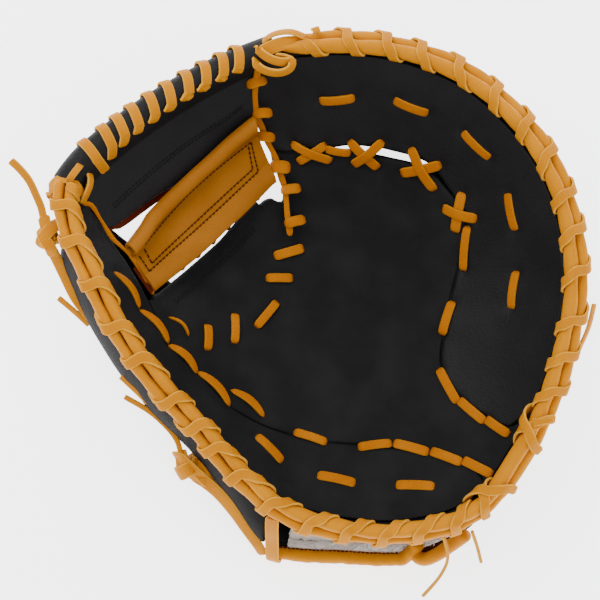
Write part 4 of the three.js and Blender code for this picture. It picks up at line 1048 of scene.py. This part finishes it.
# Quiet double line of thread across the web panel
webSewing = {"shifts": (0.0, 0.02), "ends": (0.06, 0.97), "lift": 1.25, "pitch": 2.4, "wide": 0.55}
webSewingRows = np.array([[0, 0.405], [0.6, 0.39], [0.87, 0.4], [1, 0.38]])
quiet = []
for shift in webSewing["shifts"]:
    a = np.linspace(*webSewing["ends"], 120)
    down = byAcross(webSewingRows, a) - shift
    raised = onWeb(a, down, webSewing["lift"] + 0 * a)
    quiet += sewn(raised, webFrame(a, down)[2], webSewing["pitch"], webSewing["wide"])
makePiece("webThread", quiet, looks["darkThread"])

# Cords down both sides of the web, with short laces from the finger side's cord into the panel
cordRows = {
    "finger": [
        [-49.9, 118.6, 103.0], [-48.6, 115.3, 99.0], [-49.2, 109.3, 92.5], [-50.0, 102.0, 86],
        [-48.9, 96.1, 79], [-46.8, 90.1, 73], [-44.1, 84.6, 68.5], [-40.8, 79.4, 64.5],
        [-38.6, 74.0, 61], [-36.1, 67.5, 57], [-34.0, 61.2, 53.5], [-33.4, 55.7, 51],
        [-32.5, 49.9, 49], [-31.7, 42.3, 47], [-31.1, 34.6, 44.5],
    ],
    "thumb": [
        [-142.3, 41.4, 99.0], [-137.7, 40.8, 97.0], [-132.7, 33.8, 91.5], [-126.6, 24.8, 85],
        [-118.3, 17.7, 79], [-113.1, 10.9, 74], [-108.6, 3.3, 67.5], [-106.0, -1.6, 62.5],
    ],
}
# Knobs of lace over the finger side's cord: middle, turn, length and width
webKnobs = [
    [-48.9, 109.6, 93.5, 16, 9.6, 5.6], [-45.9, 95.6, 80.5, 5, 9.2, 5.6],
    [-44.6, 84.6, 71.5, -6, 9.4, 5.6], [-36.3, 70.0, 61.0, -4, 9.8, 7.2],
    [-30.3, 59.0, 54.0, 8, 9.4, 5.6], [-28.0, 42.0, 47.5, 14, 10.4, 5.8],
]
cordSpec = {
    "knobRise": 2.8, "knobSunk": 1.2, "knobThick": 2.4, "fingerWide": 3.3, "thumbWide": 2.1, "uneven": 0.4,
    "thick": 1.9, "facing": (0.1, -0.5, 0.85), "sway": (0.25, 0.2, 0.15),
}
upward = np.array([0, 0, 1.0])
knobs = []
for x, y, up, turn, length, wide in webKnobs:
    share = np.linspace(-1, 1, 18)
    heading = np.array([math.cos(math.radians(turn)), math.sin(math.radians(turn)), 0])
    hump = cordSpec["knobRise"] * (1 - share[:, None] ** 2) ** 0.6 - cordSpec["knobSunk"]
    knob = np.array([x, y, up]) + heading * length / 2 * share[:, None] + upward * hump
    knobs.append(lacing(knob, upward, wide, cordSpec["knobThick"], 0.22))
cords = {}
for side, rows in cordRows.items():
    path = smoothPath(rows, 110)
    sway = np.sin(np.linspace(0, 34, 110))[:, None] * np.array(cordSpec["sway"]) * (side == "finger")
    wide = cordSpec[side + "Wide"] + cordSpec["uneven"] * np.sin(np.linspace(0, 21, 110))
    cords[side] = lacing(path + sway, cordSpec["facing"], wide, cordSpec["thick"], 0.03)
makePiece("webCordFinger", [cords["finger"], *knobs], looks["stitch"], ["web_lace_finger"])
makePiece("webCordThumb", [cords["thumb"]], looks["stitch"], ["web_lace_thumb"])

# Laces that join the web's bar to the bands: each path's facing, width and places
webTies = [
    ((0.35, -0.8, 0.5), 5.2, [
        [-49.5, 120, 107], [-47.9, 114.7, 109], [-42.5, 111.4, 110], [-35.5, 110.5, 111],
        [-30.6, 112.5, 112], [-29.6, 116.1, 112], [-32.8, 118.6, 111], [-38.1, 120.2, 109],
    ]),
    ((0.35, -0.7, 0.6), 5.2, [
        [-48.5, 126.1, 107], [-45.7, 121.1, 111], [-40.3, 117.2, 113], [-34.4, 115.8, 113],
        [-29.6, 117.1, 111],
    ]),
    ((0.1, 0.6, 0.8), 4.2, [
        [-47.3, 127.4, 105], [-41.4, 131.1, 110], [-36.0, 132.2, 113], [-29.5, 131.8, 115],
        [-22.2, 129.4, 114],
    ]),
    ((0.0, -0.2, 1.0), 7.5, [
        [-46.0, 122.0, 109], [-41.0, 124.5, 110.5], [-35.0, 126.5, 111], [-28.0, 127.0, 111],
        [-21.0, 126.4, 109],
    ]),
    ((0.0, 0.3, 1.0), 4.4, [[-17.6, 134.4, 113], [-16.9, 133.4, 116], [-16.2, 130.8, 117.5]]),
    ((0.3, 0.3, 0.9), 3.8, [
        [-142.6, 60.0, 109.5], [-143.2, 58.2, 112], [-144.9, 55.5, 113], [-147.0, 52.8, 112],
        [-149.0, 50, 108.5],
    ]),
    ((0.8, 0.1, 0.6), 4.2, [
        [-140.0, 60.5, 101], [-138.6, 57.4, 104], [-137.4, 52.8, 104.8], [-138.6, 47.7, 103.5],
        [-142.3, 41.2, 100],
    ]),
    ((0, 0.45, 0.9), 5.6, [
        [-159.2, 45.0, 96], [-158.9, 48.2, 103], [-155.6, 51.6, 107.3], [-150.1, 52.4, 108.6],
        [-144.9, 49.2, 107.2], [-142.6, 45.5, 102], [-143.4, 43, 97],
    ]),
]
tied = [lacing(smoothPath(rows, 40), facing, wide, 1.6, 0.06) for facing, wide, rows in webTies]
makePiece("webTies", tied, looks["lace"])
print("web done")

# Wrist strap: its piped edge stands up and the rest lies on the floor. Degrees, reach and rise.
strapRows = np.array([
    [251.5, 1.122, 0.13], [260, 1.102, 0.102], [270, 1.094, 0.102], [285.4, 1.133, 0.111],
    [292.6, 1.134, 0.185], [298, 1.132, 0.29], [302.8, 1.11, 0.35],
])
strap = {"wide": 34.0, "piping": 7.9, "first": 252.2, "last": 302.8, "edge": 1.2}


# Places at an angle, a distance out and a height, by the angle's cosine and sine.
def around(degs, out, up):
    turn = np.radians(degs)
    return np.stack([out * np.cos(turn), out * np.sin(turn), up + 0 * out], -1)


# The reach and height of the strap's upper edge at each angle.
def strapEdge(degs):
    full = np.array([[pocket["reach"]], [pocket["rim"]]])
    return smoothLine(strapRows[:, 0], strapRows[:, 1:], degs).T * full


# A line along the strap's upper edge, moved inward and lifted.
def strapLine(degs, inward=0.0, lift=0.0):
    reach, up = strapEdge(degs)
    return around(degs, reach - inward, up + lift)


# The strap: a cubic from its edge down and inwards at every angle, never under the floor.
def strapGrid(degs, shares):
    reach, up = strapEdge(degs)
    edge = (reach - strap["piping"] / 2 - walls["gap"])[:, None]
    s = shares[None, :]
    out = cubic((edge, edge - 1, edge - strap["wide"] * 0.3, edge - strap["wide"]), s)
    height = np.maximum(cubic((up[:, None], up[:, None] * 0.45, -3.0, 0.0), s), 0)
    return around(degs[:, None] + 0 * out, out, height)


shares, fromEnd = edgeShares(135, strap["edge"], 110)
across, fromSide = edgeShares(45, strap["edge"], 40)
strapPoints = strapGrid(strap["first"] + (strap["last"] - strap["first"]) * shares, across)
outside = strapPoints * np.array([1, 1, 0]) + np.array([0, 0, -60.0])
strapNormals = gridNormals(strapPoints, outside)
makePiece("strap", [wall(strapPoints, strapNormals, fromEnd, fromSide, walls["strap"], strap["edge"])],
          looks["black"], ["wrist_strap"])

# Fleece: a soft bed behind the strap with curled tufts standing on it and on its upper edge
pile = {
    "deep": 7.2, "off": 0.6, "edge": 3.0, "lump": 0.3, "rows": 150, "columns": 60,
    "tufts": 1900, "edgeTufts": 620, "tuftWide": 0.62, "tuftTall": 2.6, "edgeTall": 2.0, "curl": 0.5,
}
rows, columns = pile["rows"], pile["columns"]
fleeceDegs = np.linspace(strap["first"] + 4.4, strap["last"] - 5.2, rows)
bed = strapGrid(fleeceDegs, np.linspace(0.03, 0.97, columns))
bedNormals = gridNormals(bed, bed * np.array([1, 1, 0]) + np.array([0, 0, -60.0]))
inside = bed - bedNormals * (walls["strap"] + pile["off"])
lumps = pile["lump"] * sum(
    np.sin(inside @ (chance.normal(size=3) * 0.9) + chance.uniform(0, 6.3)) for _ in range(9)
)
fromA = np.minimum(np.arange(rows), np.arange(rows)[::-1]) * 0.8
fromB = np.minimum(np.arange(columns), np.arange(columns)[::-1]) * 0.6
pileTop = inside - bedNormals * (pile["deep"] + lumps)[..., None]
reach, up = strapEdge(fleeceDegs)
edging = around(fleeceDegs, reach - strap["piping"] / 2 - walls["gap"] - 1.7, up + 0.8)
bedParts = [
    wall(pileTop, -bedNormals, fromA, fromB, pile["deep"], pile["edge"]),
    sweep(edging, upward, 4.8, 2.0, roundShape(12)),
]


# A tuft of fleece: straight out of its foot by a stand and a lean, with a curl of a sine and a
# cosine, and narrower towards its tip.
def tuft(foot, stand, lean, facing, tall):
    t = np.linspace(0, 1, 6)[:, None]
    curl = np.stack([np.sin(t[:, 0] * 6 + lean[0] * 9), np.cos(t[:, 0] * 6 + lean[1] * 9), 0 * t[:, 0]], -1)
    path = foot + (stand + lean) * tall * t + curl * pile["curl"] * t
    wide = pile["tuftWide"] * (1 - 0.6 * t[:, 0])
    return sweep(path, unit(np.cross(facing, lean + 0.01)), wide, wide, roundShape(4))


tufts = []
for _ in range(pile["tufts"]):
    i, j = chance.integers(2, rows - 2), chance.integers(2, columns - 2)
    n = -bedNormals[i, j]
    lean = chance.normal(size=3) * 0.5
    foot = pileTop[i, j] + chance.normal(size=3) * 0.4 - n * 0.6
    tufts.append(tuft(foot, n, lean, n, pile["tuftTall"]))
for _ in range(pile["edgeTufts"]):
    lean = chance.normal(size=3) * 0.5
    spot = edging[chance.integers(1, rows - 1)]
    foot = spot + chance.normal(size=3) * np.array([1.0, 1.0, 0.2]) + upward * 0.4
    tufts.append(tuft(foot, upward * 0.7, lean, upward, pile["edgeTall"]))
makePiece("fleece", bedParts + tufts, looks["fleece"], ["strap_fleece"])

# Rolled piping along the strap's edge, turned in under the rim, and the second rolled end beside it
piping = {
    "first": 252.6, "last": 282.5, "sides": 22, "uneven": 0.06, "secondWide": 7.6, "thin": 0.72,
    "turn": [[35.5, -141.0, 13.6], [38.6, -138.2, 16.2], [40.6, -134.4, 19]],
    "second": [
        [38.5, -141.4, 14], [43.9, -143.9, 17.5], [50.9, -141.6, 23], [57.8, -137.2, 28.5],
        [63.6, -133.4, 34], [67.0, -131.0, 38],
    ],
}
pipePath = strapLine(np.linspace(piping["first"], piping["last"], 130))
pipePath = np.vstack([pipePath[:-8], smoothPath([pipePath[-8], pipePath[-1], *piping["turn"]], 40)])
many = len(pipePath)
squeeze = 1 - piping["uneven"] * np.sin(np.linspace(0, 60, many)) * np.sin(np.linspace(0, 17, many))
pipeWide = strap["piping"] * squeeze
fromThin = blend(piping["thin"], 1, smoothStep(np.arange(many), 0, 26))
pipes = []
for path, wide, thin in (
    (pipePath, pipeWide, fromThin),
    (smoothPath(piping["second"], 50), piping["secondWide"], 1.0),
):
    taper = np.ones(len(path))
    taper[:4], taper[-4:] = (0.55, 0.8, 0.93, 0.98), (0.98, 0.93, 0.8, 0.55)
    wide = wide * (taper * thin)
    points, quads, cut = sweep(path, upward, wide, wide, roundShape(piping["sides"]))
    pipes.append((points, quads, 0 * cut))
makePiece("piping", pipes, looks["tan"], ["strap_piping"])

# Stitches along the piping, and the welts that close the seam under it: degrees, inward, lift and width
pipeSewing = {"first": 253, "pitch": 0.94, "many": 31, "inward": 3.0, "lift": 2.9, "wide": 0.8, "thick": 0.7}
# The second, wide welt stands for a real tan strip; its dark thread colour is painted shade.
weltRows = [[252.0, 299, 120, 4.2, -2.4, 3.2], [283.0, 295, 60, 1.5, -1.0, 7.0]]
pipeThread = []
for k in range(pipeSewing["many"]):
    degs = pipeSewing["first"] + (k + np.linspace(0.1, 0.8, 5)) * pipeSewing["pitch"]
    pipeThread.append(sweep(strapLine(degs, pipeSewing["inward"], pipeSewing["lift"]), upward,
                            pipeSewing["wide"], pipeSewing["thick"], roundShape(6)))
for first, last, many, inward, lift, wide in weltRows:
    pipeThread.append(sweep(strapLine(np.linspace(first, last, many), inward, lift), upward, wide, 1.4))
makePiece("pipingThread", pipeThread, looks["thread"])

# The ribbon that ties the strap's piping to the rim: out and up at one place round the wrist
loopRows = np.array([
    [130, 53], [135, 45], [141, 33], [146.4, 24], [149.2, 17.5], [149.2, 11.5], [146.6, 8.6],
])
loop = {"first": 251.9, "last": 254.8, "wide": 7.6, "thick": 2.0}
loopDegs = np.linspace(loop["first"], loop["last"], 50)
loopPath = smoothPath(loopRows, 50)
loopUp = np.stack([np.gradient(loopPath[:, 1]), -np.gradient(loopPath[:, 0])], -1)
turn = np.radians(loopDegs)
loopFacing = unit(np.stack([loopUp[:, 0] * np.cos(turn), loopUp[:, 0] * np.sin(turn), loopUp[:, 1]], -1))
ribbon = lacing(around(loopDegs, *loopPath.T), -loopFacing, loop["wide"], loop["thick"], 0.05)
makePiece("strapLoop", [ribbon], looks["lace"], ["strap_loop"])
print("strap done")

# Knots: lace folded over itself round a core. Each turn is its facing, width and places.
knotTurns = {
    "knot_thumb_web": [
        ((-0.35, 0, 0.9), 7.0, [
            [-163.6, 35.7, 92], [-162.6, 31.5, 93], [-161.2, 27, 93], [-159.6, 21.6, 91],
        ]),
        ((-0.3, -0.2, 0.9), 7.2, [
            [-154.4, 33.0, 88], [-156.4, 31.2, 92], [-160.8, 26.4, 95], [-164.4, 21.9, 92],
            [-164.8, 19.5, 88],
        ]),
        ((-0.3, 0.1, 0.9), 6.8, [
            [-165.0, 29.4, 89], [-163.2, 24.0, 93.6], [-160.0, 18.9, 93], [-158.2, 14.4, 88.6],
        ]),
        ((-0.2, 0.4, 0.9), 6.0, [
            [-152.0, 24.0, 86.5], [-156, 23.4, 90], [-160, 22.4, 91], [-162.5, 18, 88],
        ]),
    ],
    "knot_thumb_wrist": [
        ((-0.5, -0.2, 0.85), 8.4, [
            [-91.2, -86.6, 44], [-90.2, -90.3, 45.5], [-89.4, -95.8, 45], [-87.0, -99.4, 41],
        ]),
        ((-0.3, -0.5, 0.8), 9.8, [
            [-93.4, -89.5, 38], [-91.0, -91.6, 45.5], [-85.7, -96.6, 46], [-78.9, -101.4, 39],
        ]),
        ((-0.2, -0.4, 0.9), 8.2, [
            [-92.8, -97.6, 37], [-91.0, -98.6, 43.5], [-85.8, -96.4, 47.6], [-80.0, -92.4, 42],
        ]),
        ((0.1, -0.3, 0.9), 8.8, [
            [-86.0, -88.0, 38], [-83.0, -93.5, 44], [-78.5, -99.5, 42], [-74.0, -103.4, 36.5],
        ]),
    ],
}
knot = {"thick": 1.9, "sunk": 3.0, "coreHalf": 6.0, "coreRound": 6.4, "coreWide": 8.4, "coreThick": 7.6}
for name, turns in knotTurns.items():
    parts = [lacing(smoothPath(rows, 40), facing, wide, knot["thick"], 0.12) for facing, wide, rows in turns]
    middle = np.array(turns[1][2]).mean(0) - upward * knot["sunk"]
    core = np.linspace(-knot["coreHalf"], knot["coreHalf"], 16)
    heading = unit(np.array(turns[2][2][-1]) - np.array(turns[2][2][0]))
    fat = np.sqrt(np.clip(1 - (core / knot["coreRound"]) ** 2, 0.03, 1))
    wide, thick = knot["coreWide"] * fat, knot["coreThick"] * fat
    parts.append(sweep(middle + heading * core[:, None], upward, wide, thick, roundShape(16)))
    makePiece(pieceName(name), parts, looks["lace"], [name])

# Strands on the thumb's shell, laid flat and narrower away from their knots: facing, width and places
strands = {
    "strand_thumb_web": ((-0.35, -0.2, 0.9), 5.2, [
        [-161.0, 20.8, 90.0], [-157.8, 15.2, 84.0], [-153.6, 6.3, 77.0], [-148.0, -5.3, 71.5],
        [-142.2, -13.0, 68.5], [-136.4, -19.0, 66.0],
    ]),
    "strand_thumb_wrist": ((-0.5, -0.4, 0.8), 6.6, [
        [-84.0, -98.5, 40.0], [-77.4, -102.8, 39.0], [-69.2, -109.8, 35.0], [-61.5, -118.9, 31.0],
        [-54.9, -128.0, 26.5], [-48.7, -136.4, 22.0], [-45.9, -141.0, 18.0],
    ]),
}
strandSpec = {"knotEnd": 1.35, "farEnd": 0.95, "thick": 1.7}
for name, (facing, wide, rows) in strands.items():
    wide = wide * np.linspace(strandSpec["knotEnd"], strandSpec["farEnd"], 60)
    strand = lacing(smoothPath(rows, 60), facing, wide, strandSpec["thick"], 0.04)
    makePiece(pieceName(name), [strand], looks["lace"], [name])

# Loose lace ends, flat laces with cut ends: facing, width and places from the hole or knot to the tip
laceEnds = {
    "lace_end_thumb_wrist": ((-0.1, -0.5, 0.85), 3.0, [
        [-90.4, -90.4, 42.5], [-90.9, -87.0, 46.5], [-93.0, -80.6, 49], [-98.0, -74.0, 51],
        [-107.8, -65.4, 52.5], [-121.5, -57.3, 53.5],
    ]),
    "lace_end_thumb_web": ((-0.5, -0.1, 0.8), 4.6, [
        [-161.4, 29.3, 90], [-163.8, 35.7, 91], [-165.2, 41.0, 92], [-167.6, 46.7, 93.5],
        [-171.4, 54.5, 96], [-176.4, 60.5, 98.5], [-180.9, 64.4, 101],
    ]),
    "lace_end_heel_long": ((0.8, 0.2, 0.5), 2.6, [
        [53.0, -132.6, 45.0], [54.6, -136.6, 41.5], [55.9, -141.6, 37], [55.5, -147.3, 32],
        [51.3, -154.9, 27], [42.8, -164.5, 21],
    ]),
    "lace_end_thumb_upper": ((-0.4, -0.4, 0.8), 3.2, [
        [-141.0, -18.4, 59.5], [-149.2, -11.2, 63.0], [-157.6, -4.3, 65.5],
    ]),
    "lace_end_thumb_middle": ((-0.3, -0.5, 0.8), 3.4, [
        [-108.0, -61.5, 60.6], [-114.3, -55.5, 63.0], [-122.9, -47.6, 65.0],
    ]),
    "lace_end_heel_short": ((0.8, 0.3, 0.4), 2.8, [
        [68.7, -130.6, 47.1], [71.9, -138.6, 41], [74.4, -146.6, 35],
    ]),
    "lace_end_finger": ((0.85, -0.1, 0.5), 4.0, [
        [126.1, -33.8, 75.6], [130.6, -23.0, 81], [133.4, -11.1, 84.8],
    ]),
}
endSpec = {"thick": 1.6, "shortestCord": 0.03}
for name, (facing, wide, rows) in laceEnds.items():
    path = smoothPath(rows, 60)
    end = lacing(path, facing, wide, endSpec["thick"], 0.03)
    piece = makePiece(pieceName(name), [end], looks["lace"], [name])
    length = float(np.linalg.norm(np.diff(path, axis=0), axis=1).sum()) / 1000
    print(pieceName(name), "length", round(length * 1000, 1), "mm")

# Dark strips under the sewn seams and inside the rim, so that no light comes up between the panels
welt = {
    "sunk": 2.6, "wide": 5.0, "thick": 1.2, "rimIn": -5.5, "rimUp": -0.3, "rimWide": 4.2, "rimThick": 3.0,
}
welts = []
for line, first, last, many in (
    (thumbSeamLine, 0.01, 0.95, 160), (fingerSeamLine, 0.04, 0.58, 120), (fingerSeamLine, 0.885, 0.998, 40),
):
    plan = line(np.linspace(first, last, many))
    facing = pocketFacing(plan)
    welts.append(sweep(onPocket(plan) - facing * welt["sunk"], facing, welt["wide"], welt["thick"]))
along = np.linspace(3, rimLength - 3, 420)
welts.append(sweep(rimSpace(along, welt["rimIn"] + 0 * along, welt["rimUp"] + 0 * along),
                   rimDirection(along, 0 * along, 1 + 0 * along), welt["rimWide"], welt["rimThick"]))
makePiece("seamWelts", welts, looks["palmBlack"])
print("knots, strands and ends done")

# Floor, light and camera
studio = {"half": 3.0, "paper": 0.9, "dullness": 0.9, "glow": 3.2, "sky": 1.0}
half = studio["half"]
floorMesh = bpy.data.meshes.new("floor")
corners = [(-half, -half, 0), (half, -half, 0), (half, half, 0), (-half, half, 0)]
floorMesh.from_pydata(corners, [], [(0, 1, 2, 3)])
floor = bpy.data.objects.new("floor", floorMesh)
bpy.context.scene.collection.objects.link(floor)
paper = bpy.data.materials.new("paper")
paper.use_nodes = True
inputs = paper.node_tree.nodes["Principled BSDF"].inputs
inputs["Base Color"].default_value = (studio["paper"], studio["paper"], studio["paper"], 1)
inputs["Roughness"].default_value = studio["dullness"]
inputs["Emission Color"].default_value = (1, 1, 1, 1)
inputs["Emission Strength"].default_value = studio["glow"]
floorMesh.materials.append(paper)

world = bpy.data.worlds.new("studio")
bpy.context.scene.world = world
world.use_nodes = True
world.node_tree.nodes["Background"].inputs["Color"].default_value = (1, 1, 1, 1)
world.node_tree.nodes["Background"].inputs["Strength"].default_value = studio["sky"]
# Soft lamps: place, size and power
lamps = {
    "key": ((-0.55, 0.55, 1.25), 0.9, 16.0),
    "fill": ((0.75, -0.5, 1.1), 1.1, 7.0),
    "rimLight": ((0.2, 1.1, 0.55), 0.8, 5.0),
}
for name, (spot, size, power) in lamps.items():
    lamp = bpy.data.lights.new(name, "AREA")
    lamp.size = size
    lamp.energy = power
    holder = bpy.data.objects.new(name, lamp)
    bpy.context.scene.collection.objects.link(holder)
    holder.location = spot
    aim = np.array([0, 0, 0.05]) - np.array(spot)
    holder.rotation_euler = Vector(aim).to_track_quat("-Z", "Y").to_euler()

camera = {
    "target": (-25.2526, -4.5845, 60.0), "distance": 1300.0, "elevation": 80.0, "across": 330.0,
    "sensor": 36.0,
}
aim = (np.array(camera["target"]) + place) / 1000
rise = math.radians(camera["elevation"])
lens = bpy.data.cameras.new("camera")
lens.sensor_width = camera["sensor"]
lens.lens = camera["sensor"] * camera["distance"] / camera["across"]
lens.clip_start, lens.clip_end = 0.05, 20
eye = bpy.data.objects.new("camera", lens)
bpy.context.scene.collection.objects.link(eye)
distance = camera["distance"] / 1000
eye.location = (aim[0], aim[1] - distance * math.cos(rise), aim[2] + distance * math.sin(rise))
eye.rotation_euler = (math.pi / 2 - rise, 0, 0)
bpy.context.scene.camera = eye
print("studio done")
